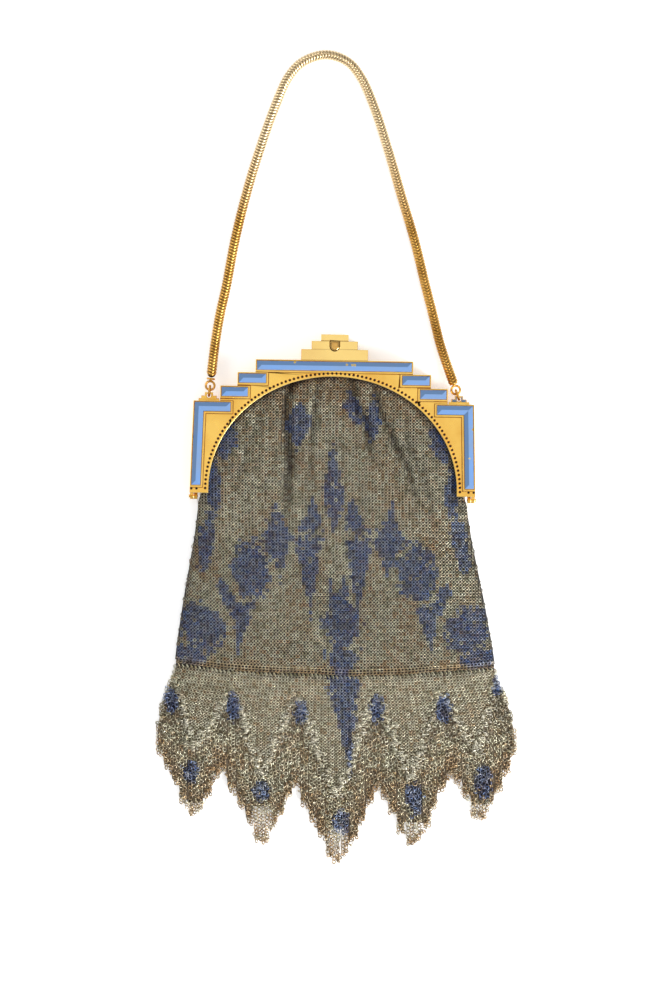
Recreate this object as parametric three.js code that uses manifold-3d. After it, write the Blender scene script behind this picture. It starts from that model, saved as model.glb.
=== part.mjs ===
// A metal mesh purse on a stepped, enamelled frame, lying on its back. Millimetres, +Z up out
// of its front, +Y towards the chain handle, the centre of the frame's arch at x = 0, y = 0.
import * as THREE from "three";
import { mergeGeometries, mergeVertices } from "three/addons/utils/BufferGeometryUtils.js";
import Module from "manifold-3d";

const wasm = await Module();
wasm.setup();

// Frame: two stamped halves, hinged at their feet
const frameHalfWidth = 51.3;
const legWidth = 6.7;
const footDrop = 1.7; // the feet reach this far below the arch's centre
const crownHeight = 46.5;
const crownWidth = 5.8; // from the arch up to the top edge
const plateThickness = 0.8;
const flangeThickness = 0.8;
const halfDepth = 4.5;
const partingGap = 0.4;
const archSegments = 26;
const archCutDepth = 5; // how far below the arch's centre its opening is cut

// Shoulder and steps above it: half width in frameHalfWidth, top edge in crownHeight
const frameSteps = [
  { halfWidth: 0.982, top: 0.675 },
  { halfWidth: 0.796, top: 0.793 },
  { halfWidth: 0.677, top: 0.899 },
  { halfWidth: 0.551, top: 1 },
];

// Clasp plate above the crown: half width in claspHalfWidth, top edge in claspHeight
const claspHalfWidth = 12;
const claspHeight = 9.3;
const claspRelief = 0.15; // each lower step stands this much prouder
const claspSteps = [
  { halfWidth: 1, top: 0.42 },
  { halfWidth: 0.69, top: 0.74 },
  { halfWidth: 0.412, top: 1 },
];

// Stitch holes round the arch, which the mesh is linked to
const stitchHoleRadius = 0.45;
const stitchPitch = 1.55;
const stitchInset = 1.1;
const stitchHoleSides = 6;
const footStitchSteps = [2, 3.2]; // more holes on a foot, in stitchPitch from the arch's row

// Enamel bars and the raised gilt rims round them
const barWidth = 3.45;
const barRim = 0.4;
const bedMargin = 0.75;
const bedHeight = 0.45;
const barTuck = 3.9; // how far a step's bar runs in under the step above it
const barFootGap = 2.7; // bare leg below the corner bar
const enamelGap = 0.1;
const enamelEdge = 0.35;
const enamelHeight = 0.8;
const ridgeShare = 0.94; // of a bar's half width that a sloped face takes up

// Clasp button in its window
const windowWidth = 3.7;
const windowHeight = 4;
const windowRise = 3.2; // from the crown up to the window's sill
const buttonGap = 0.2;
const buttonProud = 0.5;
const buttonBevel = 0.6;
const buttonFlange = 0.7; // how far its flange reaches past the window, all round
const buttonFlangeThickness = 0.6;
const buttonStemRadius = 0.8;
const buttonCoreHalf = 1;
const buttonTravel = 1;
const guideWall = 0.6;
const guideHeight = 3.2;

// Hinges at the feet
const knuckleRadius = 1.1;
const knuckleLength = 2.7;
const knuckleGap = 0.15;
const pinRadius = 0.35;
const pinClearance = 0.1;
const pinHeadThickness = 0.3;
const pinHeadRadius = 0.6;
const pinHeadLap = 0.05;

// Chain lugs on the shoulders
const lugFromEdge = 5.3;
const lugHalfWidth = 3.7;
const lugHeight = 3.2;
const lugThickness = 0.9;
const lugHoleRadius = 0.83;
const lugHoleRise = 2;
const lugBarThickness = 0.6;
const lugSteps = [
  { halfWidth: 1, top: 0.32 },
  { halfWidth: 0.75, top: 0.62 },
  { halfWidth: 0.4, top: 1 },
];

// Chain handle and its fittings
const linkWireRadius = 0.42;
const linkSides = 16;
const linkLength = 4.5;
const linkWidth = 3.3;
const eyeWireRadius = 0.43;
const eyeSides = 14;
const wireSides = 6;
const eyeRadius = 2;
const eyeReach = 3.6; // from the lug's hole to the eye's centre
const chainRadius = 1.8;
const chainSides = 8;
const chainSteps = 48;
const chainNeckRadius = 0.56;
const chainPlugRadius = 1.5;
const chainPlugLength = 0.7;
const chainGap = 0.3;

// The chain as it lies, from the left end to the right: x in chainHalfSpan, y in chainRise, and
// lift is the share of the lug's height above the resting chain that is left at that point.
const chainHalfSpan = 43.3;
const chainRise = 157.3;
const chainRoute = [
  { x: -1, y: 0.3274, lift: 0.45 },
  { x: -0.963, y: 0.3967, lift: 0.08 },
  { x: -0.9122, y: 0.4654, lift: 0 },
  { x: -0.8476, y: 0.5683, lift: 0 },
  { x: -0.7621, y: 0.672, lift: 0 },
  { x: -0.6559, y: 0.7756, lift: 0 },
  { x: -0.5289, y: 0.8792, lift: 0 },
  { x: -0.4203, y: 0.9479, lift: 0 },
  { x: -0.3025, y: 0.9828, lift: 0 },
  { x: -0.1109, y: 1, lift: 0 },
  { x: 0.0716, y: 0.9847, lift: 0 },
  { x: 0.1824, y: 0.9504, lift: 0 },
  { x: 0.2979, y: 0.8824, lift: 0 },
  { x: 0.4249, y: 0.78, lift: 0 },
  { x: 0.5381, y: 0.6777, lift: 0 },
  { x: 0.6536, y: 0.5753, lift: 0 },
  { x: 0.7506, y: 0.4723, lift: 0 },
  { x: 0.8176, y: 0.4043, lift: 0.08 },
  { x: 0.8822, y: 0.3357, lift: 0.45 },
];

// Mesh bag and fringe
const meshWall = 1.1;
const lipOverlap = 1.5; // the mesh reaches this far under the plate, past the arch
const lipSeatWidth = 2.5;
const clothGap = 0.2;
const bodyLength = 62;
const waistHalfWidth = 58.2;
const waistHeight = 7.4;
const bagPuff = 0.8; // the mesh bulges this far above its edge inside the arch
const sideHeight = 2.6;
const clothLean = 0.031; // sideways drift per length below the feet, as it lies
const foldDepth = 1.3;
const foldFade = 0.12; // length in crownHeight over which a fold starts
const roundness = 6; // power of the curve of the bag's sides
const puffEdge = { from: 0.8, to: 0.96 }; // where the bulge ends, in the arch's half width
const frameHold = 0.2; // the frame holds the bag's shape over this much of bodyLength
const liftEdge = { from: 0.82, to: 0.93, fade: 0.1 }; // where the back lifts over the plate
const hollowSag = 0.6; // the roof of the hollow under the folds, in foldDepth
const sagStart = 0.5; // where that starts, in crownHeight below the arch's centre
const sideWall = 2.75;
const skirtLength = 73.3;
const skirtHalfWidth = 65.4;
const seamGap = 0.3;
const strandWidth = 2.9;
const strandGap = 0.5;
const strandFree = 5; // length of the free strands between two neighbours
const ringPitch = 1.1;
const lobeSteepness = 2.05;
const lobeBlunt = 1.5;
const strandStep = 0.5; // how far the ends of neighbouring strands differ, in ringPitch
const skirtFall = 0.55; // share of skirtLength over which the skirt comes down to the hem

// Sides of the bag: down in bodyLength, half width in waistHalfWidth
const bagSides = [
  { down: 0.29, halfWidth: 0.869 },
  { down: 0.64, halfWidth: 0.94 },
  { down: 0.87, halfWidth: 0.981 },
  { down: 1, halfWidth: 1 },
];

// Sides of the skirt: down in skirtLength, half width in skirtHalfWidth
const skirtSides = [
  { down: 0.004, halfWidth: 0.89 },
  { down: 0.082, halfWidth: 0.908 },
  { down: 0.136, halfWidth: 0.942 },
  { down: 0.232, halfWidth: 0.977 },
  { down: 0.333, halfWidth: 1 },
];

// Points of the fringe: x in skirtHalfWidth, tip in skirtLength
const fringeLobes = [
  { x: -0.787, tip: 0.775 },
  { x: -0.414, tip: 0.909 },
  { x: 0, tip: 1 },
  { x: 0.414, tip: 0.909 },
  { x: 0.787, tip: 0.775 },
];

// Folds gathered at the arch: x and width in the arch's half width, slant in x per y, depth in
// foldDepth, from and to in crownHeight above the arch's centre
const folds = [
  { x: -0.62, slant: 0.28, width: 0.06, depth: 0.45, from: 0.55, to: -0.35 },
  { x: -0.37, slant: 0, width: 0.05, depth: 1, from: 0.9, to: -0.5 },
  { x: -0.14, slant: 0.05, width: 0.06, depth: 0.55, from: 0.95, to: -0.3 },
  { x: 0.11, slant: -0.28, width: 0.06, depth: 0.9, from: 0.95, to: 0.1 },
  { x: 0.33, slant: -0.42, width: 0.07, depth: 0.7, from: 0.75, to: -0.25 },
  { x: 0.6, slant: -0.3, width: 0.06, depth: 0.45, from: 0.5, to: -0.4 },
];

// Fineness of the curved surfaces
const bagColumns = 28;
const bagRows = 20;
const hollowColumns = 10;
const hollowRows = 6;
const skirtColumns = 10;
const skirtRows = 8;

// Worked out from the sizes above
const archX = frameHalfWidth - legWidth;
const archY = crownHeight - crownWidth;
const shoulderX = frameSteps[0].halfWidth * frameHalfWidth;
const shoulderY = frameSteps[0].top * crownHeight;
const frontRim = halfDepth + partingGap;
const frontTop = 2 * halfDepth + partingGap;
const frontUnder = frontTop - plateThickness;
const bedTop = frontTop + bedHeight;
const barInset = barRim + barWidth;
const overlap = 0.4; // how deep joined pieces of one casting reach into each other
const lipTop = frontUnder - clothGap;
const lipBottom = plateThickness + clothGap;
const windowSill = crownHeight + windowRise;
const windowTop = windowSill + windowHeight;
const knuckleInner = frameHalfWidth - knuckleLength;
const hingeY = -footDrop - knuckleGap - knuckleRadius;
const hingeZ = halfDepth + partingGap / 2;
const lugX = shoulderX - lugFromEdge;
const lugHoleY = shoulderY + lugHoleRise;
const lugZ = halfDepth - lugThickness / 2;
const chainPoints = chainRoute.map(({ x, y, lift }) => ({ x: x * chainHalfSpan, y: y * chainRise, lift }));

const gilt = new THREE.MeshStandardMaterial({ color: 0xf3cc6f, roughness: 0.3, metalness: 1 });
const enamel = new THREE.MeshStandardMaterial({ color: 0x7fa2d8, roughness: 0.15, metalness: 0 });
const chainGilt = new THREE.MeshStandardMaterial({ color: 0xcd9f53, roughness: 0.35, metalness: 1 });
const ringMesh = new THREE.MeshStandardMaterial({ color: 0x8d826c, roughness: 0.45, metalness: 0.9 });
const buttonGilt = new THREE.MeshStandardMaterial({ color: 0xb98a3c, roughness: 0.1, metalness: 1 });

// A closed three.js geometry as a manifold solid.
function solid(geometry) {
  const bare = geometry.index ? geometry.toNonIndexed() : geometry.clone();
  bare.deleteAttribute("normal");
  bare.deleteAttribute("uv");
  const merged = mergeVertices(bare, 1e-4);
  return new wasm.Manifold(
    new wasm.Mesh({
      numProp: 3,
      vertProperties: merged.getAttribute("position").array,
      triVerts: new Uint32Array(merged.index.array),
    }),
  );
}

function geometryOf(body) {
  const mesh = body.getMesh();
  const geometry = new THREE.BufferGeometry();
  geometry.setAttribute("position", new THREE.BufferAttribute(mesh.vertProperties, 3));
  geometry.setIndex(new THREE.BufferAttribute(mesh.triVerts, 1));
  return geometry;
}

function joined(bodies) {
  return bodies.reduce((whole, body) => whole.add(body));
}

// A flat shape raised from one height to another.
function slab(shape, low, high, curveSegments = 12) {
  const geometry = new THREE.ExtrudeGeometry(shape, {
    depth: high - low,
    bevelEnabled: false,
    curveSegments,
  });
  return solid(geometry.translate(0, 0, low));
}

function block(x0, x1, y0, y1, z0, z1) {
  const geometry = new THREE.BoxGeometry(x1 - x0, y1 - y0, z1 - z0);
  return solid(geometry.translate((x0 + x1) / 2, (y0 + y1) / 2, (z0 + z1) / 2));
}

function polygon(points) {
  return new THREE.Shape(points.map(([x, y]) => new THREE.Vector2(x, y)));
}

function uprightRod(radius, x, y, low, high, sides = 12) {
  const geometry = new THREE.CylinderGeometry(radius, radius, high - low, sides);
  return solid(geometry.rotateX(Math.PI / 2).translate(x, y, (low + high) / 2));
}

function crossRod(radius, x0, x1, sides = 12) {
  const geometry = new THREE.CylinderGeometry(radius, radius, x1 - x0, sides);
  return solid(geometry.rotateZ(Math.PI / 2).translate((x0 + x1) / 2, hingeY, hingeZ));
}

// Stair outline of one side from the foot to the top of the clasp plate, moved in by inset.
function stairPoints(inset) {
  const steps = [
    ...frameSteps.map(({ halfWidth, top }) => [halfWidth * frameHalfWidth, top * crownHeight]),
    ...claspSteps.map(({ halfWidth, top }) => [halfWidth * claspHalfWidth, crownHeight + top * claspHeight]),
  ];
  const points = [[frameHalfWidth - inset, -footDrop + inset]];
  steps.forEach(([x, y], i) => {
    if (i) points.push([x - inset, steps[i - 1][1] - inset]);
    points.push([x - inset, y - inset]);
  });
  return points;
}

function mirrored(points) {
  return points.map(([x, y]) => [-x, y]).reverse();
}

function frameShape(inset) {
  const side = stairPoints(inset);
  return polygon([...side, ...mirrored(side)]);
}

// The arch's opening, grown outwards by extra and open below the feet.
function archShape(extra) {
  const shape = new THREE.Shape();
  shape.moveTo(archX + extra, -archCutDepth);
  shape.lineTo(archX + extra, 0);
  shape.absellipse(0, 0, archX + extra, archY + extra, 0, Math.PI, false);
  shape.lineTo(-archX - extra, -archCutDepth);
  return shape;
}

function archCut(extra, low, high) {
  return slab(archShape(extra), low, high, archSegments);
}

// Plate and return flange of one half, between its outer face and the parting plane.
function frameHalf(plateLow, plateHigh, flangeLow, flangeHigh) {
  const plate = slab(frameShape(0), plateLow, plateHigh).subtract(archCut(0, plateLow - 1, plateHigh + 1));
  const wall = slab(frameShape(0), flangeLow, flangeHigh).subtract(
    slab(frameShape(flangeThickness), flangeLow - 1, flangeHigh + 1),
  );
  const room = archCut(lipOverlap + 2 * clothGap, flangeLow - 1, flangeHigh + 1);
  return plate.add(wall.subtract(room));
}

// Where the enamel bars lie on the right side, as outlines grown by margin.
function barOuterX(y, inset) {
  const flare = frameHalfWidth - shoulderX;
  return frameHalfWidth - (flare * (y + footDrop)) / (shoulderY + footDrop) - inset;
}

function barOutlines(margin) {
  const outlines = {};
  const crown = frameSteps[3];
  const topY = crownHeight - barRim + Math.min(margin, barRim);
  const crownX = crown.halfWidth * frameHalfWidth - barRim + Math.min(margin, barRim);
  const bottomOf = (top) => top - barInset - margin;
  outlines.top = [
    [-crownX, bottomOf(crownHeight)],
    [crownX, bottomOf(crownHeight)],
    [crownX, topY],
    [-crownX, topY],
  ];
  for (const index of [2, 1]) {
    const top = frameSteps[index].top * crownHeight;
    const outer = frameSteps[index].halfWidth * frameHalfWidth - barRim + Math.min(margin, barRim);
    const inner = frameSteps[index + 1].halfWidth * frameHalfWidth - barTuck - margin;
    outlines["step" + index] = [
      [inner, bottomOf(top)],
      [outer, bottomOf(top)],
      [outer, top - barRim + Math.min(margin, barRim)],
      [inner, top - barRim + Math.min(margin, barRim)],
    ];
  }
  const foot = -footDrop + barFootGap - margin;
  const inset = barRim - Math.min(margin, barRim);
  const tuck = frameSteps[1].halfWidth * frameHalfWidth - barTuck - margin;
  const underY = bottomOf(shoulderY);
  outlines.corner = [
    [barOuterX(foot, barInset + margin), foot],
    [barOuterX(foot, inset), foot],
    [barOuterX(shoulderY - inset, inset), shoulderY - inset],
    [tuck, shoulderY - inset],
    [tuck, underY],
    [barOuterX(underY, barInset + margin), underY],
  ];
  return outlines;
}

// A bar with upright edges and a mitred, ridged top.
function ridgedBar(outline, low) {
  const ridgeInset = (barWidth / 2 - enamelGap) * ridgeShare;
  const slope = enamelHeight - enamelEdge;
  const geometry = new THREE.ExtrudeGeometry(polygon(outline), {
    depth: 2 * enamelEdge,
    bevelEnabled: true,
    bevelThickness: slope,
    bevelSize: ridgeInset,
    bevelOffset: -ridgeInset,
    bevelSegments: 1,
  });
  const whole = solid(geometry.translate(0, 0, low - enamelEdge));
  const reach = 2 * frameHalfWidth;
  return whole.intersect(block(-reach, reach, -reach, reach, low, low + enamelHeight + 1));
}

function mirrorX(body) {
  return body.mirror([1, 0, 0]);
}

// Centres of the stitch holes: evenly spaced along the arch, and two more on each foot.
function stitchCentres() {
  const radiusX = archX + stitchInset;
  const radiusY = archY + stitchInset;
  const arch = new THREE.EllipseCurve(0, 0, radiusX, radiusY, 0, Math.PI);
  const count = Math.round(arch.getLength() / stitchPitch);
  const centres = arch.getSpacedPoints(count).map((point) => [point.x, point.y]);
  const footY = -footDrop + stitchInset + stitchHoleRadius;
  for (const side of [-1, 1]) {
    for (const step of footStitchSteps) centres.push([side * (radiusX + step * stitchPitch), footY]);
  }
  return centres;
}

function stitchDrills() {
  const depth = plateThickness + bedHeight + 2;
  const drills = stitchCentres().map(([x, y]) =>
    new THREE.CylinderGeometry(stitchHoleRadius, stitchHoleRadius, depth, stitchHoleSides)
      .rotateX(Math.PI / 2)
      .translate(x, y, frontTop),
  );
  return solid(mergeGeometries(drills));
}

// Window of the clasp plate: square above, round below.
function windowShape(gap) {
  const half = windowWidth / 2 - gap;
  const shape = new THREE.Shape();
  shape.moveTo(half, windowTop - gap);
  shape.lineTo(-half, windowTop - gap);
  shape.lineTo(-half, windowSill + windowWidth / 2);
  shape.absarc(0, windowSill + windowWidth / 2, half, Math.PI, 2 * Math.PI, false);
  return shape;
}

function knuckle(side, inner, outer, webLow, webHigh) {
  const [x0, x1] = side < 0 ? [-outer, -inner] : [inner, outer];
  const barrel = crossRod(knuckleRadius, x0, x1);
  const web = block(x0, x1, hingeY, -footDrop + flangeThickness, webLow, webHigh);
  return barrel.add(web).subtract(crossRod(pinRadius + pinClearance, x0 - 1, x1 + 1));
}

const knuckleMiddle = knuckleInner + knuckleLength / 2;

function frontFrame() {
  const low = frontTop - overlap;
  const beds = Object.entries(barOutlines(bedMargin)).flatMap(([name, outline]) => {
    const bed = slab(polygon(outline), low, bedTop);
    return name === "top" ? [bed] : [bed, mirrorX(bed)];
  });
  const pockets = Object.entries(barOutlines(0)).flatMap(([name, outline]) => {
    const pocket = slab(polygon(outline), frontTop, bedTop + 1);
    return name === "top" ? [pocket] : [pocket, mirrorX(pocket)];
  });
  const claspPlates = claspSteps.slice(0, 2).map((step, i) => {
    const bottom = i ? crownHeight + claspSteps[i - 1].top * claspHeight : crownHeight;
    const half = step.halfWidth * claspHalfWidth;
    const top = crownHeight + step.top * claspHeight;
    return block(-half, half, bottom - overlap, top, low, frontTop + (2 - i) * claspRelief);
  });
  const knuckles = [-1, 1].map((side) =>
    knuckle(side, knuckleMiddle + knuckleGap / 2, frameHalfWidth, frontRim, frontRim + plateThickness),
  );
  const shell = frameHalf(frontUnder, frontTop, frontRim, frontUnder + overlap);
  return joined([shell, ...beds, ...claspPlates, ...knuckles])
    .subtract(joined(pockets))
    .subtract(slab(windowShape(0), frontUnder - 1, bedTop + 1))
    .subtract(stitchDrills());
}

function chainLug(side) {
  const x = side * lugX;
  const low = halfDepth - lugThickness;
  const tiers = lugSteps.map((step) => {
    const half = step.halfWidth * lugHalfWidth;
    return block(x - half, x + half, shoulderY - flangeThickness, shoulderY + step.top * lugHeight, low, halfDepth);
  });
  return joined(tiers).subtract(uprightRod(lugHoleRadius, x, lugHoleY, low - 1, halfDepth + 1));
}

function backFrame() {
  const knuckles = [-1, 1].map((side) =>
    knuckle(side, knuckleInner, knuckleMiddle - knuckleGap / 2, halfDepth - plateThickness, halfDepth),
  );
  const guideY = (windowSill + windowTop) / 2;
  const bore = buttonStemRadius + buttonGap;
  const guide = uprightRod(bore + guideWall, 0, guideY, plateThickness - overlap, plateThickness + guideHeight);
  const drill = uprightRod(bore, 0, guideY, plateThickness, plateThickness + guideHeight + 1);
  const half = lugHalfWidth;
  const barLow = shoulderY + knuckleGap;
  const lugBar = block(
    lugX - half,
    lugX + half,
    barLow,
    shoulderY + lugSteps[0].top * lugHeight,
    halfDepth - overlap,
    halfDepth + lugBarThickness,
  );
  return joined([
    frameHalf(0, plateThickness, plateThickness - overlap, halfDepth),
    ...knuckles,
    chainLug(-1),
    chainLug(1),
    lugBar,
    guide,
  ]).subtract(drill);
}

function claspButton() {
  const middleY = (windowSill + windowTop) / 2;
  const head = new THREE.ExtrudeGeometry(windowShape(buttonGap), {
    depth: frontTop + buttonProud - frontUnder,
    bevelEnabled: true,
    bevelThickness: buttonProud,
    bevelSize: buttonBevel,
    bevelOffset: -buttonBevel,
    bevelSegments: 2,
    curveSegments: 8,
  });
  const headBody = solid(head.translate(0, 0, frontUnder - buttonProud));
  const half = windowWidth / 2 + buttonFlange;
  const flangeTop = frontUnder - partingGap;
  const flangeLow = flangeTop - buttonFlangeThickness;
  const flange = block(-half, half, windowSill - buttonFlange, windowTop + buttonFlange / 2, flangeLow, flangeTop);
  const side = buttonCoreHalf;
  const core = block(-side, side, middleY - side, middleY + side, flangeLow, frontUnder + overlap);
  const stemLow = plateThickness + buttonTravel + 2 * buttonGap;
  const stem = uprightRod(buttonStemRadius, 0, middleY, stemLow, flangeLow + overlap / 2);
  return joined([headBody, flange, core, stem]);
}

function hingePin(side) {
  const outer = frameHalfWidth + knuckleGap;
  const inner = knuckleInner - knuckleGap;
  const [x0, x1] = side < 0 ? [-outer, -inner] : [inner, outer];
  const tip = side * (outer + pinHeadThickness);
  const head = side < 0 ? crossRod(pinHeadRadius, tip, x0 + pinHeadLap) : crossRod(pinHeadRadius, x1 - pinHeadLap, tip);
  return crossRod(pinRadius, x0, x1).add(head);
}

// Direction in which the chain leaves a lug, and points along it.
function chainLeave(side) {
  const first = side < 0 ? chainPoints[0] : chainPoints[chainPoints.length - 1];
  const lug = new THREE.Vector3(side * lugX, lugHoleY, lugZ);
  const toward = new THREE.Vector3(first.x, first.y, lugZ).sub(lug).normalize();
  const at = (distance) => lug.clone().addScaledVector(toward, distance);
  return { at, turn: Math.atan2(-toward.x, toward.y) };
}

// A fitting modelled upright along +Y from the lug's hole, turned along the chain.
function placed(geometry, side) {
  const { at, turn } = chainLeave(side);
  const lug = at(0);
  return geometry.rotateZ(turn).translate(lug.x, lug.y, lug.z);
}

function chainLink(side) {
  const ring = new THREE.TorusGeometry(linkWidth / 2 - linkWireRadius, linkWireRadius, wireSides, linkSides);
  const stretch = (linkLength - linkWidth) / 2;
  const position = ring.getAttribute("position");
  for (let i = 0; i < position.count; i++) {
    const y = position.getY(i);
    position.setY(i, y + (Math.abs(y) < 1e-6 ? 0 : Math.sign(y) * stretch));
  }
  const reach = lugHoleRadius - linkWireRadius;
  ring.rotateY(Math.PI / 2).translate(0, linkLength / 2 - linkWireRadius - reach / 4, 0);
  return solid(placed(ring, side));
}

const plugStart = eyeReach + eyeRadius + chainGap / 3;
const chainStart = plugStart + chainPlugLength + chainGap;

function chainEnd(side) {
  const eye = new THREE.TorusGeometry(eyeRadius - eyeWireRadius, eyeWireRadius, wireSides, eyeSides).translate(0, eyeReach, 0);
  const neckLow = eyeReach + eyeRadius - eyeWireRadius;
  const neckHigh = plugStart + chainPlugLength / 2;
  const neck = new THREE.CylinderGeometry(chainNeckRadius, chainNeckRadius, neckHigh - neckLow, 8);
  neck.translate(0, (neckLow + neckHigh) / 2, 0);
  const plug = new THREE.CylinderGeometry(chainPlugRadius, chainPlugRadius, chainPlugLength, 12);
  plug.translate(0, plugStart + chainPlugLength / 2, 0);
  return joined([eye, neck, plug].map((piece) => solid(placed(piece, side))));
}

function snakeChain() {
  const rest = chainRadius;
  const lift = lugZ - rest;
  const route = chainPoints.map(({ x, y, lift: share }) => new THREE.Vector3(x, y, rest + share * lift));
  route.unshift(chainLeave(-1).at(chainStart));
  route.push(chainLeave(1).at(chainStart));
  const section = new THREE.Shape();
  const corners = Array.from({ length: chainSides }, (_, i) => {
    const angle = (2 * Math.PI * (i + 0.5)) / chainSides;
    return new THREE.Vector2(chainRadius * Math.cos(angle), chainRadius * Math.sin(angle));
  });
  section.setFromPoints(corners);
  const extrudePath = new THREE.CatmullRomCurve3(route, false, "centripetal");
  return solid(new THREE.ExtrudeGeometry(section, { extrudePath, steps: chainSteps, bevelEnabled: false }));
}

// Share from 0 at start to 1 at end, whichever way they lie.
function ramp(value, start, end) {
  const t = THREE.MathUtils.clamp((value - start) / (end - start), 0, 1);
  return t * t * (3 - 2 * t);
}

function leanAt(y) {
  return clothLean * Math.max(0, -y - footDrop);
}

// Half width of the bag at a height y.
function bagHalfWidth(y) {
  const rows = [
    { y: 0, half: archX + lipOverlap },
    { y: -footDrop - clothGap, half: archX + lipOverlap },
    { y: hingeY - knuckleRadius - clothGap, half: knuckleInner - 2 * knuckleGap - clothGap },
    ...bagSides.map(({ down, halfWidth }) => ({ y: -down * bodyLength, half: halfWidth * waistHalfWidth })),
  ];
  const next = rows.findIndex((row) => row.y < y);
  if (next === 0) return rows[0].half;
  if (next < 0) return rows[rows.length - 1].half;
  const above = rows[next - 1];
  const below = rows[next];
  return above.half + ((below.half - above.half) * (above.y - y)) / (above.y - below.y);
}

// How far out a point of the bag is, from 0 in the middle of the arch to 1 at its edge.
function archShare(x, y) {
  return Math.hypot(x / archX, Math.max(0, y) / archY);
}

function foldDrop(x, y) {
  return folds.reduce((sum, fold) => {
    const top = fold.from * crownHeight;
    const bottom = fold.to * crownHeight;
    const middle = fold.x * archX + fold.slant * (y - top);
    const across = Math.exp(-(((x - middle) / (fold.width * archX)) ** 2));
    const along = ramp(y, bottom, (top + bottom) / 2) * (1 - ramp(y, top, top + foldFade * crownHeight));
    return sum + fold.depth * foldDepth * across * along;
  }, 0);
}

// Height of the front of the bag, without its folds.
function bagTop(x, y) {
  const share = Math.min(1, Math.abs(x - leanAt(y)) / bagHalfWidth(y));
  const middle = lipTop + bagPuff;
  const level = middle + (waistHeight - middle) * ramp(y, 0, -bodyLength);
  const edge = lipTop + bagPuff * (1 - ramp(archShare(x, y), puffEdge.from, puffEdge.to));
  const insideFrame = 1 - ramp(y, -footDrop, -footDrop - frameHold * bodyLength);
  const side = sideHeight + (level - sideHeight) * Math.sqrt(1 - share ** roundness);
  return side + (Math.min(level, edge) - side) * insideFrame;
}

// How far the back of the bag lifts off the surface, to lie over the back plate's edge.
function backLift(x, y) {
  const nearEdge = ramp(archShare(x, y), liftEdge.from, liftEdge.to);
  const low = -footDrop - liftEdge.fade * bodyLength;
  return lipBottom * nearEdge * (1 - ramp(y, -footDrop - clothGap, low));
}

// A closed block between two height functions, its columns spread across half(y) about the lean.
function drapedBlock(yLow, yHigh, columns, rows, half, top, bottom) {
  const geometry = new THREE.BoxGeometry(2, yHigh - yLow, 2, columns, rows, 1).translate(0, (yLow + yHigh) / 2, 0);
  const position = geometry.getAttribute("position");
  for (let i = 0; i < position.count; i++) {
    const y = position.getY(i);
    const across = position.getX(i);
    const spread = 0.5 * across + 0.5 * Math.sin((across * Math.PI) / 2);
    const x = leanAt(y) + spread * half(y);
    position.setX(i, x);
    position.setZ(i, position.getZ(i) > 0 ? top(x, y) : bottom(x, y));
  }
  return solid(geometry);
}

function meshPouch() {
  const topY = archY + lipOverlap;
  const folded = (x, y) => bagTop(x, y) - foldDrop(x, y);
  const outer = drapedBlock(-bodyLength, topY, bagColumns, bagRows, bagHalfWidth, folded, () => -1)
    .intersect(clothRoom(lipOverlap))
    .subtract(lipSeat());
  const roof = (x, y) => bagTop(x, y) - meshWall - hollowSag * foldDepth * ramp(y, -sagStart * crownHeight, 0);
  const floor = (x, y) => backLift(x, y) + meshWall;
  const hollowTop = -footDrop - clothGap;
  const inside = (y) => bagHalfWidth(y) - sideWall;
  const past = (y) => bagHalfWidth(y) + 1;
  const size = [hollowColumns, hollowRows];
  const hollow = drapedBlock(-bodyLength + meshWall, hollowTop, ...size, inside, roof, floor);
  const mouth = drapedBlock(hollowTop - overlap, topY + 1, ...size, past, roof, floor);
  return outer.subtract(hollow).subtract(mouth);
}

// Where the bag may be: above the surface, inside the arch grown by extra or below the feet.
function clothRoom(extra) {
  const reach = 2 * skirtHalfWidth;
  const below = block(-reach, reach, -2 * bodyLength, -footDrop, 0, 2 * frontTop);
  return archCut(extra, 0, 2 * frontTop).add(below);
}

// The step in the bag's underside that lies on the inner edge of the back plate.
function lipSeat() {
  const reach = 2 * frameHalfWidth;
  const around = block(-reach, reach, -footDrop - clothGap, 2 * crownHeight, -1, lipBottom);
  return around.subtract(archCut(-lipSeatWidth, -2, lipBottom + 1));
}

// Lower end of the strand at x, as the points of the fringe run.
function strandEnd(x, index) {
  const ends = fringeLobes.map(
    (lobe) =>
      -bodyLength -
      lobe.tip * skirtLength +
      lobeSteepness * Math.max(0, Math.abs(x - lobe.x * skirtHalfWidth) - lobeBlunt),
  );
  const step = (((index * 7) % 3) - 1) * ringPitch * strandStep;
  return Math.min(...ends) + step;
}

// Outline of the skirt before it leans: its two sides, and the comb of strands between them.
function fringeOutline() {
  const side = skirtSides.map(({ down, halfWidth }) => [
    halfWidth * skirtHalfWidth,
    -bodyLength - seamGap - down * skirtLength,
  ]);
  const count = Math.round((2 * skirtHalfWidth) / strandWidth);
  const width = (2 * skirtHalfWidth) / count;
  const strands = Array.from({ length: count }, (_, i) => {
    const left = -skirtHalfWidth + i * width;
    return { left, right: left + width, end: strandEnd(left + width / 2, i) };
  });
  const comb = strands.flatMap((strand, i) => {
    const before = strands[i - 1];
    const after = strands[i + 1];
    const slot = (other) => Math.max(strand.end, other.end) + strandFree;
    const left = strand.left + (before ? strandGap / 2 : 0);
    const right = strand.right - (after ? strandGap / 2 : 0);
    const points = [];
    if (before) points.push([left, slot(before)]);
    points.push([left, strand.end], [right, strand.end]);
    if (after) points.push([right, slot(after)]);
    return points;
  });
  return [...mirrored(side).reverse(), ...comb, ...[...side].reverse()];
}

// One ringed skirt, between two height functions.
function fringe(top, bottom, columns, rows) {
  const leaning = fringeOutline().map(([x, y]) => [x + leanAt(y), y]);
  const low = -bodyLength - skirtLength - 2 * ringPitch;
  const cloth = drapedBlock(low, -bodyLength, columns, rows, () => skirtHalfWidth + 1, top, bottom);
  return cloth.intersect(slab(polygon(leaning), -1, 2 * frontTop));
}

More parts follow.
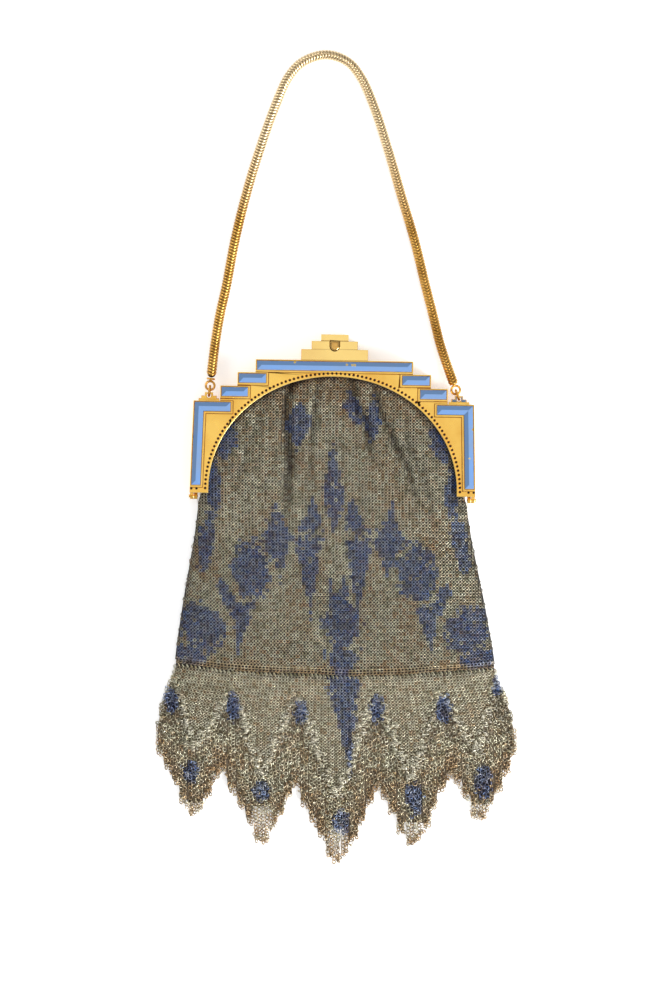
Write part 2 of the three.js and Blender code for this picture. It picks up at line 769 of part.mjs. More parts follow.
function skirtTop(x, y) {
  const hem = 2 * meshWall + clothGap + partingGap / 2;
  const waist = Math.max(hem, bagTop(x, -bodyLength));
  return hem + (waist - hem) * (1 - ramp(y, -bodyLength, -bodyLength - skirtFall * skirtLength));
}

const purse = new THREE.Group();

function add(name, body, material) {
  const mesh = new THREE.Mesh(geometryOf(body), material);
  mesh.name = name;
  purse.add(mesh);
}

add("front_frame", frontFrame(), gilt);
add("back_frame", backFrame(), gilt);
for (const [name, outline] of Object.entries(barOutlines(-enamelGap))) {
  const bar = ridgedBar(outline, frontTop);
  if (name === "top") {
    add("enamel_top_bar", bar, enamel);
  } else {
    add("enamel_" + name + "_left", mirrorX(bar), enamel);
    add("enamel_" + name + "_right", bar, enamel);
  }
}
add("clasp_button", claspButton(), buttonGilt);
for (const [name, side] of [["left", -1], ["right", 1]]) {
  add("hinge_pin_" + name, hingePin(side), gilt);
  add("chain_link_" + name, chainLink(side), chainGilt);
  add("chain_end_" + name, chainEnd(side), chainGilt);
}
add("snake_chain", snakeChain(), chainGilt);
add("mesh_pouch", meshPouch(), ringMesh);
const skirtUnder = (x, y) => skirtTop(x, y) - meshWall;
add("fringe_front", fringe(skirtTop, skirtUnder, skirtColumns, skirtRows), ringMesh);
add("fringe_back", fringe(() => meshWall, () => 0, 1, 1), ringMesh);

// The middle of its base becomes the origin.
const box = new THREE.Box3().setFromObject(purse);
const middle = box.getCenter(new THREE.Vector3());
purse.position.set(-middle.x, -middle.y, -box.min.z);

export default purse;
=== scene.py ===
# A mesh evening purse lying on its back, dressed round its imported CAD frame. Lengths in the sections
# are millimetres about the centre of the frame's arch, and become metres where a mesh is placed.
import math

import bmesh
import bpy
import numpy as np
from mathutils import Matrix, Vector
from mathutils.bvhtree import BVHTree


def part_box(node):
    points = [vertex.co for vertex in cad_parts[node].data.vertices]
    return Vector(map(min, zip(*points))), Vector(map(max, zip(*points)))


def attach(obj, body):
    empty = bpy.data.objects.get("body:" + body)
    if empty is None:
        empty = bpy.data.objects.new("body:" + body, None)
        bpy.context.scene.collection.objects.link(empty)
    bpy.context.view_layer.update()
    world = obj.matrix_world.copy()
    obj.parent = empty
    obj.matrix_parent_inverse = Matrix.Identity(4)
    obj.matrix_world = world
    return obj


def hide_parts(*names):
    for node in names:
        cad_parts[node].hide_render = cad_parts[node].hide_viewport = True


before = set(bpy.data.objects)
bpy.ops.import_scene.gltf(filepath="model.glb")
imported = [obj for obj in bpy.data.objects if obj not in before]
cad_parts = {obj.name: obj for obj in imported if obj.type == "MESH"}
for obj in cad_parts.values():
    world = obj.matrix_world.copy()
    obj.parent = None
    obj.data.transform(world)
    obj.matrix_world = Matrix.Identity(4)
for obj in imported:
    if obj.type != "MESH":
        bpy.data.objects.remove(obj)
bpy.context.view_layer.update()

# Copy stand. The purse lies on a white board that is lit a little from within, under soft boxes,
# with the camera straight above it. Its film plane is turned a little, so the purse seems turned.
MM = 0.001
FOOT_REACH = 4.05
LENS = 100
SENSOR = 36
VIEW_HEIGHT = 356.4
VIEW_LEVEL = 6
VIEW_TURN = math.radians(0.9)
VIEW_CENTRE = (-0.87, -1.81)
AIR_LIGHT = 0.5
BOARD_WHITE = 0.93
BOARD_GLOW = 0.45
BOARD_REACH = 1.6
BOARD_DROP = 0.05

frame_low, frame_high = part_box("front_frame")
arch_centre = Vector(((frame_low.x + frame_high.x) / 2, frame_low.y + FOOT_REACH * MM, 0))


def at_row(x, y, z):
    """A point about the arch's centre, in millimetres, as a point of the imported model"""
    return arch_centre + Vector((x, y, z)) * MM


def put(name, data):
    """A new object in the scene, at its origin"""
    thing = bpy.data.objects.new(name, data)
    bpy.context.scene.collection.objects.link(thing)
    return thing


def keep(name, mesh, finish, body="purse", stands_for=()):
    """A finished piece: linked, painted, riding its body and standing for its CAD nodes"""
    piece = put(name, mesh)
    mesh.materials.append(finish)
    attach(piece, body)
    if stands_for:
        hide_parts(*stands_for)
    return piece


def as_mesh(name, work, smooth=False):
    """The bmesh as a mesh of its own"""
    mesh = bpy.data.meshes.new(name)
    work.to_mesh(mesh)
    work.free()
    mesh.polygons.foreach_set("use_smooth", [smooth] * len(mesh.polygons))
    return mesh


camera_data = bpy.data.cameras.new("copy_camera")
camera_data.lens = LENS
camera_data.sensor_width = SENSOR
camera_data.clip_start = 0.01
camera_data.clip_end = 20
camera = put("copy_camera", camera_data)
camera.location = at_row(*VIEW_CENTRE, VIEW_LEVEL + VIEW_HEIGHT * LENS / SENSOR)
camera.rotation_euler = (0, 0, VIEW_TURN)
bpy.context.scene.camera = camera
bpy.context.scene.view_settings.view_transform = "Standard"

LIGHTS = [
    # name, place in metres, width in metres, watts
    ("overhead_box", (0.0, 0.0, 1.45), 1.1, 2.0),
    ("right_box", (0.95, -0.75, 0.85), 0.7, 25.0),
    ("left_box", (-1.1, 0.5, 0.9), 0.6, 5.0),
]
for light_name, place, width, power in LIGHTS:
    lamp_data = bpy.data.lights.new(light_name, "AREA")
    lamp_data.shape = "SQUARE"
    lamp_data.size = width
    lamp_data.energy = power
    lamp = put(light_name, lamp_data)
    lamp.location = place
    lamp.rotation_euler = (-Vector(place)).to_track_quat("-Z", "Y").to_euler()

studio = bpy.data.worlds.new("studio_air")
studio.use_nodes = True
air = studio.node_tree.nodes["Background"]
air.inputs["Color"].default_value = (1, 1, 1, 1)
air.inputs["Strength"].default_value = AIR_LIGHT
bpy.context.scene.world = studio


def srgb(red, green, blue):
    """A colour read off a screen, 0 to 255, as the shader's linear values"""
    shares = [value / 255 for value in (red, green, blue)]
    return [*(share / 12.92 if share < 0.04 else ((share + 0.055) / 1.055) ** 2.4 for share in shares), 1]


def wire(tree, kind, inputs, **settings):
    """A new node with its settings made and its sockets filled or linked"""
    made = tree.nodes.new("ShaderNode" + kind)
    for name, value in settings.items():
        setattr(made, name, value)
    for name, value in inputs.items():
        if isinstance(value, bpy.types.NodeSocket):
            tree.links.new(value, made.inputs[name])
        else:
            made.inputs[name].default_value = value
    return made


def new_finish(name, **plain):
    """A material with a Principled shader, its plain sockets set by name"""
    made = bpy.data.materials.new(name)
    made.use_nodes = True
    shader = made.node_tree.nodes["Principled BSDF"]
    for label, value in plain.items():
        shader.inputs[label.replace("_", " ")].default_value = value
    return made, made.node_tree, shader


def feed(tree, shader, **sockets):
    """Links outputs to the shader's sockets of those names"""
    for label, output in sockets.items():
        tree.links.new(output, shader.inputs[label.replace("_", " ")])


def marked(tree, name):
    """The mark of that name that a mesh carries on its points or faces"""
    return wire(tree, "Attribute", {}, attribute_name=name).outputs["Fac"]


def own_place(tree):
    """Places on the piece itself, which patterns are laid by"""
    return wire(tree, "TexCoord", {}).outputs["Object"]


def combined(tree, operation, first, second):
    """One number made of two"""
    return wire(tree, "Math", {0: first, 1: second}, operation=operation).outputs[0]


def mixed(tree, share, first, second):
    """A colour that goes from the first to the second with share"""
    return wire(tree, "Mix", {0: share, 6: first, 7: second}, data_type="RGBA").outputs[2]


def spread(tree, value, low, high, start=0.0, end=1.0):
    """A value between start and end as a value between low and high"""
    inputs = {"Value": value, "From Min": start, "From Max": end, "To Min": low, "To Max": high}
    return wire(tree, "MapRange", inputs).outputs["Result"]


board_work = bmesh.new()
bmesh.ops.create_grid(board_work, x_segments=8, y_segments=8, size=BOARD_REACH)
bmesh.ops.translate(board_work, verts=board_work.verts, vec=(0, 0, -BOARD_DROP * MM))
board = put("white_board", as_mesh("white_board", board_work))
board_paint = new_finish(
    "board_white",
    Roughness=0.8,
    Base_Color=(BOARD_WHITE, BOARD_WHITE, BOARD_WHITE, 1),
    Emission_Color=(1, 1, 1, 1),
    Emission_Strength=BOARD_GLOW,
)[0]
board.data.materials.append(board_paint)

# Frame halves. Each is stamped gilt brass with a soldered rim round its enamel beds, and the back
# half carries the two chain lugs. Their edges are eased by polishing, and the gilding is rubbed there.
FRAME_EASE = 0.09
PIN_EASE = 0.05
CREASE_EASE = 0.2
RIM_SLOPE = 0.2
RIM_LEVELS = (9.4 * MM, 9.85 * MM)
SHARP_FROM = math.radians(32)
CREASED_FROM = math.radians(55)
FLAT_WITHIN = math.radians(1)
HOLLOW_FROM = math.radians(8)
MERGED_WITHIN = 0.002
LEVEL_WITHIN = 0.02
BED_CLEAR = 0.4
SHORT_EDGE = 2.2
CLASP_FOOT = 46.6
CLASP_HALF = 12
CLASP_RUBBED = 0.6
GOLD = srgb(250, 205, 104)
GOLD_DEEP = srgb(226, 168, 74)
GOLD_RUBBED = srgb(255, 226, 150)
# Painted shade: the gilt's hollow corners and the feet of its beds darken to this deep orange.
GOLD_SHADED = srgb(186, 108, 18)


def new_group(name, inputs, outputs):
    """A shader node group with number sockets, and its two end nodes"""
    group = bpy.data.node_groups.new(name, "ShaderNodeTree")
    for label, value in inputs.items():
        socket = group.interface.new_socket(label, in_out="INPUT", socket_type="NodeSocketFloat")
        socket.default_value = value
    for label in outputs:
        group.interface.new_socket(label, in_out="OUTPUT", socket_type="NodeSocketFloat")
    return group, group.nodes.new("NodeGroupInput"), group.nodes.new("NodeGroupOutput")


patch_group, given, result = new_group("tarnish_patches", {"Scale": 60, "Start": 0.45, "End": 0.65}, ["Mask"])
here = own_place(patch_group)
cloud = wire(patch_group, "TexNoise", {"Vector": here, "Scale": given.outputs["Scale"], "Detail": 5})
edge = {"From Min": given.outputs["Start"], "From Max": given.outputs["End"]}
share = wire(patch_group, "MapRange", {"Value": cloud.outputs["Fac"], **edge})
patch_group.links.new(share.outputs["Result"], result.inputs["Mask"])

grain_group, given, result = new_group("metal_grain", {"Scale": 2500}, ["Height"])
here = own_place(grain_group)
speck = wire(grain_group, "TexNoise", {"Vector": here, "Scale": given.outputs["Scale"], "Detail": 3})
grain_group.links.new(speck.outputs["Fac"], result.inputs["Height"])


def patches(tree, scale, start, end):
    """Mask of the tarnish patches group, at this finish's own scale"""
    made = tree.nodes.new("ShaderNodeGroup")
    made.node_tree = patch_group
    for label, value in (("Scale", scale), ("Start", start), ("End", end)):
        made.inputs[label].default_value = value
    return made.outputs["Mask"]


def grain(tree, scale, strength, depth):
    """Normal of the metal grain group, as fine as scale"""
    made = tree.nodes.new("ShaderNodeGroup")
    made.node_tree = grain_group
    made.inputs["Scale"].default_value = scale
    bump = {"Strength": strength, "Distance": depth * MM, "Height": made.outputs["Height"]}
    return wire(tree, "Bump", bump).outputs["Normal"]


gilt, tree, shader = new_finish("gilt_brass", Metallic=1.0)
rubbed = marked(tree, "rubbed")
# Painted shade: this mark darkens the hollow corners to a deep orange gold.
hollow_shade = marked(tree, "hollow_shade")
gold = mixed(tree, patches(tree, 70, 0.42, 0.75), GOLD, GOLD_DEEP)
feed(
    tree,
    shader,
    Base_Color=mixed(tree, hollow_shade, mixed(tree, rubbed, gold, GOLD_RUBBED), GOLD_SHADED),
    Roughness=spread(tree, patches(tree, 240, 0.3, 0.7), 0.24, 0.36),
    Normal=grain(tree, 2600, 0.25, 0.02),
)


def bevelled(work, edges, ease, steps=2):
    """Bevels those edges, by so much in the bmesh's own unit, and gives back the new faces"""
    made = bmesh.ops.bevel(
        work,
        geom=edges,
        offset=ease,
        offset_type="OFFSET",
        segments=steps,
        profile=0.5,
        affect="EDGES",
        material=-1,
        clamp_overlap=False,
    )
    return made["faces"]


def level_edges(work, level):
    """Edges at that height between two faces, with one of them upright or steep"""
    found = []
    for edge in work.edges:
        flat = all(abs(vert.co.z - level) < LEVEL_WITHIN * MM for vert in edge.verts)
        if flat and len(edge.link_faces) == 2 and min(abs(face.normal.z) for face in edge.link_faces) < 0.1:
            found.append(edge)
    return found


def rim_tops(work, floor, top):
    """Upper edges of the raised beds' outer sides, which stand on the plate"""
    found = []
    for edge in level_edges(work, top):
        side = min(edge.link_faces, key=lambda face: abs(face.normal.z))
        low = min(vert.co.z for vert in side.verts)
        middle = (edge.verts[0].co + edge.verts[1].co) / 2
        if abs(low - floor) < 0.1 * MM and enamel_skin.find_nearest(middle)[3] > BED_CLEAR * MM:
            found.append(edge)
    return found


def rim_feet(work, floor):
    """Inward corners where the raised beds meet the plate"""
    return [
        edge for edge in level_edges(work, floor)
        if not edge.is_convex and enamel_skin.find_nearest(edge.verts[0].co)[3] > BED_CLEAR * MM
    ]


def eased_copy(node, name, ease, rims=None):
    """A merged copy of a CAD node, its corners bevelled: the outer ones rubbed, the inner ones painted with
    shade
    """
    work = bmesh.new()
    work.from_mesh(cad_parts[node].data)
    worn = work.faces.layers.float.new("rubbed")
    hollow_shade_layer = work.faces.layers.float.new("hollow_shade")
    bmesh.ops.remove_doubles(work, verts=work.verts, dist=MERGED_WITHIN * MM)
    bmesh.ops.dissolve_limit(work, angle_limit=FLAT_WITHIN, verts=work.verts, edges=work.edges)
    if rims:
        floor, top = rims
        for face in bevelled(work, rim_tops(work, floor, top), RIM_SLOPE * MM, 1):
            face[worn] = 0.5
        work.normal_update()
        # The feet of the raised beds are marked for painted shade.
        for face in bevelled(work, rim_feet(work, floor), CREASE_EASE * MM, 1):
            face[hollow_shade_layer] = 1
    work.normal_update()
    sharp = [
        edge for edge in work.edges
        if len(edge.link_faces) == 2
        and edge.calc_face_angle(0) > (CREASED_FROM if rims else SHARP_FROM)
        and edge.calc_length() > SHORT_EDGE * ease * MM
    ]
    # Bevels along hollow edges are marked for painted shade, the others as rubbed.
    for face in bevelled(work, sharp, ease * MM):
        hollow = any(
            len(edge.link_faces) == 2 and not edge.is_convex and edge.calc_face_angle(0) > HOLLOW_FROM
            for edge in face.edges
        )
        face[hollow_shade_layer if hollow else worn] = 1
    return as_mesh(name, work)


enamel_work = bmesh.new()
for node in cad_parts:
    if node.startswith("enamel_"):
        enamel_work.from_mesh(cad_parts[node].data)
enamel_skin = BVHTree.FromBMesh(enamel_work)
enamel_work.free()
for node, rims in (("front_frame", RIM_LEVELS), ("back_frame", None)):
    half = eased_copy(node, "gilt_" + node, FRAME_EASE, rims)
    for face, wear in zip(half.polygons, half.attributes["rubbed"].data):
        aside = abs(face.center.x - arch_centre.x)
        on_plate = face.center.y - arch_centre.y > CLASP_FOOT * MM and aside < CLASP_HALF * MM
        wear.value = max(wear.value, CLASP_RUBBED if on_plate else 0)
    keep("gilt_" + node, half, gilt, stands_for=[node])
for side in ("left", "right"):
    pin = "hinge_pin_" + side
    keep("gilt_" + pin, eased_copy(pin, "gilt_" + pin, PIN_EASE), gilt, stands_for=[pin])

# Stitch threads. The bag's top row is laced to the arch by a dark wire behind the holes, which
# fills each hole as a small brown knot below the face of the plate.
ARCH_X = 44.6
ARCH_Y = 40.7
STITCH_INSET = 1.1
STITCH_PITCH = 1.55
STITCH_RADIUS = 0.47
STITCH_DEPTH = (8.75, 9.36)
FOOT_STITCHES = [2, 3.2]
FOOT_STITCH_Y = -0.15

thread, tree, shader = new_finish("stitch_thread", Specular_IOR_Level=0.2)
thread_brown = mixed(tree, patches(tree, 900, 0.3, 0.7), srgb(24, 12, 6), srgb(50, 28, 14))
feed(tree, shader, Base_Color=thread_brown, Roughness=spread(tree, patches(tree, 600, 0.3, 0.7), 0.5, 0.8))


def rod(work, segments, radii, length, place):
    """A closed cylinder or cone about that place, and its points"""
    made = bmesh.ops.create_cone(
        work,
        cap_ends=True,
        segments=segments,
        radius1=radii[0],
        radius2=radii[1],
        depth=length,
        matrix=place,
    )
    return made["verts"]


rim_x, rim_y = ARCH_X + STITCH_INSET, ARCH_Y + STITCH_INSET
turns = [math.pi * step / 2000 for step in range(2001)]
rim_points = [Vector((rim_x * math.cos(turn), rim_y * math.sin(turn))) for turn in turns]
rim_run = [0.0]
for start, end in zip(rim_points, rim_points[1:]):
    rim_run.append(rim_run[-1] + (end - start).length)
stitch_count = round(rim_run[-1] / STITCH_PITCH)
levels = [rim_run[-1] * index / stitch_count for index in range(stitch_count + 1)]
rim_across, rim_up = ([point[axis] for point in rim_points] for axis in (0, 1))
stitches = [(np.interp(level, rim_run, rim_across), np.interp(level, rim_run, rim_up)) for level in levels]
for side in (-1, 1):
    stitches += [(side * (rim_x + step * STITCH_PITCH), FOOT_STITCH_Y) for step in FOOT_STITCHES]
thread_work = bmesh.new()
low, high = STITCH_DEPTH
for x, y in stitches:
    middle = Matrix.Translation(at_row(x, y, (low + high) / 2))
    rod(thread_work, 8, [STITCH_RADIUS * MM] * 2, (high - low) * MM, middle)
keep("stitch_threads", as_mesh("stitch_threads", thread_work), thread)

# Enamel bars. Blue glass enamel fills the raised beds in ridged, mitred bars, fired and ground. Its slopes
# that face up and left carry painted shade, and it is chipped to the gilt in a few places.
ENAMEL_NODES = ["enamel_top_bar"] + [
    f"enamel_{step}_{side}" for step in ("step2", "step1", "corner") for side in ("left", "right")
]
ENAMEL_BLUE = srgb(108, 150, 208)
ENAMEL_GREY = srgb(118, 148, 190)
# Painted shade: the blue of the facets that face up and left.
ENAMEL_SHADED = srgb(80, 112, 150)
ENAMEL_RIDGE = srgb(196, 186, 192)
ENAMEL_EASE = 0.11
FACET_TILT = 0.2
FACET_SHADE_MOST = 0.75
CHIP_RAGGED = 0.6 * MM
CHIP_LEVEL = 9.8 * MM
CHIPS = [
    # x, y, radius
    (4.44, 44.9, 0.55),
    (6.4, 44.8, 0.6),
    (7.3, 44.8, 0.6),
    (-14.2, 45.6, 0.5),
    (48.9, 12.0, 0.55),
    (50.2, 22.4, 0.6),
]

enamel, tree, shader = new_finish("blue_enamel", Coat_Weight=0.6, Coat_Roughness=0.06)
here = own_place(tree)
ragged = wire(tree, "TexNoise", {"Vector": here, "Scale": 1800, "Detail": 2})
shift = {0: ragged.outputs["Color"], 1: (CHIP_RAGGED, CHIP_RAGGED, 0)}
shifted = wire(tree, "VectorMath", shift, operation="MULTIPLY")
moved = wire(tree, "VectorMath", {0: here, 1: shifted.outputs[0]}, operation="ADD").outputs[0]
chipped = None
for x, y, radius in CHIPS:
    middle = at_row(x, y, 0) + Vector((CHIP_RAGGED / 2, CHIP_RAGGED / 2, CHIP_LEVEL))
    apart = wire(tree, "VectorMath", {0: moved, 1: middle}, operation="DISTANCE").outputs["Value"]
    hole = spread(tree, apart, 1, 0, 0.75 * radius * MM, radius * MM)
    chipped = hole if chipped is None else combined(tree, "MAXIMUM", chipped, hole)
thin_blue = mixed(tree, patches(tree, 110, 0.35, 0.7), ENAMEL_BLUE, ENAMEL_GREY)
body_blue = mixed(tree, marked(tree, "facet_shade"), thin_blue, ENAMEL_SHADED)
ridge_share = combined(tree, "MULTIPLY", marked(tree, "rubbed"), patches(tree, 420, 0.3, 0.55))
feed(
    tree,
    shader,
    Base_Color=mixed(tree, chipped, mixed(tree, ridge_share, body_blue, ENAMEL_RIDGE), GOLD_RUBBED),
    Metallic=chipped,
    Roughness=spread(tree, patches(tree, 300, 0.35, 0.65), 0.14, 0.26),
    Normal=grain(tree, 420, 0.35, 0.05),
)
for node in ENAMEL_NODES:
    glass = eased_copy(node, "glass_" + node, ENAMEL_EASE)
    # Painted shade: facets that face up or left get a darker blue, the more as they slope.
    facing = [max(-face.normal.x, face.normal.y) / FACET_TILT for face in glass.polygons]
    facet_shades = [max(0, min(1, share)) * FACET_SHADE_MOST for share in facing]
    glass.attributes.new("facet_shade", "FLOAT", "FACE").data.foreach_set("value", facet_shades)
    keep("glass_" + node, glass, enamel, stands_for=[node])

# Right lug's enamel. The three tiers behind the right lug's gilt bar are enamelled too, and their
# tips are left gilt. The enamel is a thin skin on the stamped tiers.
LUG_X = 45.08
LUG_FOOT = 31.39
LUG_FACE = 4.5
LUG_SKIN = 0.14
LUG_BAR = 0.85
LUG_EASE = 0.04
LUG_TIERS = [
    # half width, lower edge, upper edge
    (2.45, 1.1, 1.85),
    (1.2, 1.95, 2.95),
]
lug_work = bmesh.new()
for half, low, high in LUG_TIERS:
    for side in (-1, 1):
        across = LUG_X + side * (half + LUG_BAR) / 2
        centre = at_row(across, LUG_FOOT + (low + high) / 2, LUG_FACE + LUG_SKIN / 2)
        size = Matrix.Diagonal(((half - LUG_BAR) * MM, (high - low) * MM, LUG_SKIN * MM, 1))
        bmesh.ops.create_cube(lug_work, size=1, matrix=Matrix.Translation(centre) @ size)
bevelled(lug_work, lug_work.edges[:], LUG_EASE * MM)
keep("lug_enamel", as_mesh("lug_enamel", lug_work), enamel)

# Clasp stud. A little polished cushion of darker gilt metal fills the clasp plate's window and
# springs in under the thumb.
STUD_EASE = 0.12

stud, tree, shader = new_finish("polished_stud", Metallic=1.0)
amber = mixed(tree, patches(tree, 500, 0.35, 0.65), srgb(236, 188, 104), srgb(184, 136, 70))
feed(
    tree,
    shader,
    Base_Color=mixed(tree, marked(tree, "rubbed"), amber, srgb(250, 214, 140)),
    Roughness=spread(tree, patches(tree, 900, 0.3, 0.7), 0.08, 0.2),
    Normal=grain(tree, 1500, 0.3, 0.04),
)
button = eased_copy("clasp_button", "stud_head", STUD_EASE)
keep("stud_head", button, stud, body="button", stands_for=["clasp_button"])

# Chain fittings. A long link hangs in each lug, and an eye with a short plug ends the chain. They
# are drawn gilt wire, soldered.
LINK_WIRE = 0.42
LINK_LENGTH = 4.5
LINK_WIDTH = 3.3
EYE_RADIUS = 2.0
EYE_WIRE = 0.43
EYE_REACH = 3.6
LUG_HOLE = (45.08, 33.39, 4.05)
LUG_HOLE_RADIUS = 0.83
NECK_RADII = (0.5, 0.62)
PLUG_RADIUS = 1.5
PLUG_LENGTH = 0.7
PLUG_EASE = 0.15
WIRE_STEPS = (24, 10)
LYING = Matrix.Rotation(math.radians(90), 4, "X")
CHAIN_GAP = 0.3
CHAIN_REST = 1.8
ROUTE = [
    # x, y, lift
    (-43.3, 51.5, 0.45),
    (-41.7, 62.4, 0.08),
    (-39.5, 73.2, 0),
    (-36.7, 89.4, 0),
    (-33.0, 105.7, 0),
    (-28.4, 122.0, 0),
    (-22.9, 138.3, 0),
    (-18.2, 149.1, 0),
    (-13.1, 154.6, 0),
    (-4.8, 157.3, 0),
    (3.1, 154.9, 0),
    (7.9, 149.5, 0),
    (12.9, 138.8, 0),
    (18.4, 122.7, 0),
    (23.3, 106.6, 0),
    (28.3, 90.5, 0),
    (32.5, 74.3, 0),
    (35.4, 63.6, 0.08),
    (38.2, 52.8, 0.45),
]

chain_gilt, tree, shader = new_finish("chain_gilt", Metallic=1.0)
dull_gold = mixed(tree, patches(tree, 160, 0.4, 0.7), srgb(226, 176, 92), srgb(186, 136, 62))
# Painted highlight: towards the top of the handle the plates turn pale gold, as if catching the light.
chain_gold = mixed(tree, marked(tree, "top_highlight"), dull_gold, srgb(255, 236, 196))
# Painted shade: the neck of each plate, tucked into the next one, darkens to deep brown.
feed(
    tree,
    shader,
    Base_Color=mixed(tree, marked(tree, "tucked_shade"), chain_gold, srgb(96, 66, 30)),
    Roughness=spread(tree, patches(tree, 500, 0.3, 0.7), 0.22, 0.4),
    Normal=grain(tree, 3000, 0.2, 0.02),
)


def wire_ring(work, radius, thickness, around, across, place):
    """A round wire bent into a ring, by spinning its section"""
    start = Matrix.Translation((radius, 0, 0)) @ LYING
    section = bmesh.ops.create_circle(work, radius=thickness, segments=across, matrix=place @ start)["verts"]
    rim = list({edge for vert in section for edge in vert.link_edges})
    turned = place.to_3x3()
    bmesh.ops.spin(
        work,
        geom=section + rim,
        cent=place.translation,
        axis=turned @ Vector((0, 0, 1)),
        angle=math.tau,
        steps=around,
        use_merge=True,
        use_duplicate=False,
    )


def leaving(side):
    """Where the chain's fittings hang from, and their turn about the upright"""
    first = ROUTE[0] if side < 0 else ROUTE[-1]
    hole = Vector((side * LUG_HOLE[0], LUG_HOLE[1], LUG_HOLE[2]))
    toward = (Vector((first[0], first[1], LUG_HOLE[2])) - hole).normalized()
    return hole, toward, Matrix.Rotation(math.atan2(-toward.x, toward.y), 4, "Z")


for side, label in ((-1, "left"), (1, "right")):
    hole, toward, turn = leaving(side)
    stand = Matrix.Translation(arch_centre) @ Matrix.Scale(MM, 4) @ Matrix.Translation(hole) @ turn
    link_work = bmesh.new()
    wire_ring(link_work, LINK_WIDTH / 2 - LINK_WIRE, LINK_WIRE, *WIRE_STEPS, Matrix.Identity(4))
    for vert in link_work.verts:
        vert.co.y += math.copysign((LINK_LENGTH - LINK_WIDTH) / 2, vert.co.y) if abs(vert.co.y) > 1e-5 else 0
    bmesh.ops.rotate(link_work, verts=link_work.verts, matrix=Matrix.Rotation(math.radians(90), 3, "Y"))
    low = LINK_LENGTH / 2 - LINK_WIRE - (LUG_HOLE_RADIUS - LINK_WIRE) / 4
    bmesh.ops.translate(link_work, verts=link_work.verts, vec=(0, low, 0))
    bmesh.ops.transform(link_work, matrix=stand, verts=link_work.verts)
    bmesh.ops.recalc_face_normals(link_work, faces=link_work.faces)
    node = "chain_link_" + label
    keep("drawn_" + node, as_mesh(node, link_work, True), chain_gilt, stands_for=[node])
    end_work = bmesh.new()
    eye_place = Matrix.Translation((0, EYE_REACH, 0))
    wire_ring(end_work, EYE_RADIUS - EYE_WIRE, EYE_WIRE, *WIRE_STEPS, eye_place)
    neck_low = EYE_REACH + EYE_RADIUS - EYE_WIRE
    plug_low = EYE_REACH + EYE_RADIUS + CHAIN_GAP / 3
    neck_high = plug_low + PLUG_LENGTH / 2
    neck_middle = Matrix.Translation((0, (neck_low + neck_high) / 2, 0))
    rod(end_work, 12, NECK_RADII, neck_high - neck_low, neck_middle @ LYING)
    plug_middle = Matrix.Translation((0, plug_low + PLUG_LENGTH / 2, 0))
    plug = rod(end_work, 20, (PLUG_RADIUS, PLUG_RADIUS), PLUG_LENGTH, plug_middle @ LYING)
    rims = {edge for vert in plug for edge in vert.link_edges if edge.calc_face_angle(0) > SHARP_FROM}
    bevelled(end_work, list(rims), PLUG_EASE)
    bmesh.ops.transform(end_work, matrix=stand, verts=end_work.verts)
    bmesh.ops.recalc_face_normals(end_work, faces=end_work.faces)
    node = "chain_end_" + label
    keep("drawn_" + node, as_mesh(node, end_work, True), chain_gilt, stands_for=[node])

# Snake chain. Thin gilt plates, each bent into a collar with a chevron edge, are hooked one into the
# next and rolled to a round section. They slide in each other, so the chain lies in free curves.
PLATE_PITCH = 1.07
PLATE_NECK = 1.42
PLATE_POINT = 0.95
PLATE_SIDES = 12
# Painted highlight: where up the handle the chain starts to turn paler, over what reach, and how far.
HIGHLIGHT_FROM = 96
HIGHLIGHT_REACH = 30
HIGHLIGHT_SHARE = 0.75
ROLL_FROM = 0.3
ROLL_REACH = 0.15
PLATE_WILD = 0.05
CHAIN_START = EYE_REACH + EYE_RADIUS + CHAIN_GAP / 3 + PLUG_LENGTH + CHAIN_GAP

route = [Vector((x, y, CHAIN_REST + lift * (LUG_HOLE[2] - CHAIN_REST))) for x, y, lift in ROUTE]
for side, index in ((-1, 0), (1, len(route) + 1)):
    hole, toward, turn = leaving(side)
    route.insert(index, hole + toward * CHAIN_START)


def smooth_course(points, steps):
    """Points along a centripetal curve through the route"""
    ends = [2 * points[0] - points[1], *points, 2 * points[-1] - points[-2]]
    course = []
    for before, start, end, after in zip(ends, ends[1:], ends[2:], ends[3:]):
        gaps = [(b - a).length ** 0.5 for a, b in ((before, start), (start, end), (end, after))]
        leave = (start - before) / gaps[0] - (end - before) / (gaps[0] + gaps[1]) + (end - start) / gaps[1]
        arrive = (end - start) / gaps[1] - (after - start) / (gaps[1] + gaps[2]) + (after - end) / gaps[2]
        leave, arrive = leave * gaps[1], arrive * gaps[1]
        for step in range(steps):
            t = step / steps
            bend = (2 * start - 2 * end + leave + arrive) * t**3
            course.append(start + leave * t + (3 * end - 3 * start - 2 * leave - arrive) * t**2 + bend)
    return np.array([*course, points[-1]])


course = smooth_course(route, 24)
along = np.concatenate([[0], np.cumsum(np.linalg.norm(np.diff(course, axis=0), axis=1))])
plate_count = int(along[-1] / PLATE_PITCH)
stations = (np.arange(plate_count) + 0.5) * along[-1] / plate_count
middles = np.stack([np.interp(stations, along, course[:, axis]) for axis in range(3)], axis=1)
ahead = np.stack([np.interp(stations + 0.5, along, course[:, axis]) for axis in range(3)], axis=1)
behind = np.stack([np.interp(stations - 0.5, along, course[:, axis]) for axis in range(3)], axis=1)

plate_work = bmesh.new()
tucked_shade_mark = plate_work.verts.layers.float.new("tucked_shade")
ring = bmesh.ops.create_circle(plate_work, radius=PLATE_NECK, segments=PLATE_SIDES, matrix=LYING)["verts"]
PROFILE = [
    # how far along, radius
    (0.55, 1.74),
    (1.05, 1.8),
    (1.2, 1.72),
    (1.12, 1.5),
]
edges = list({edge for vert in ring for edge in vert.link_edges})
last = (0.0, PLATE_NECK)
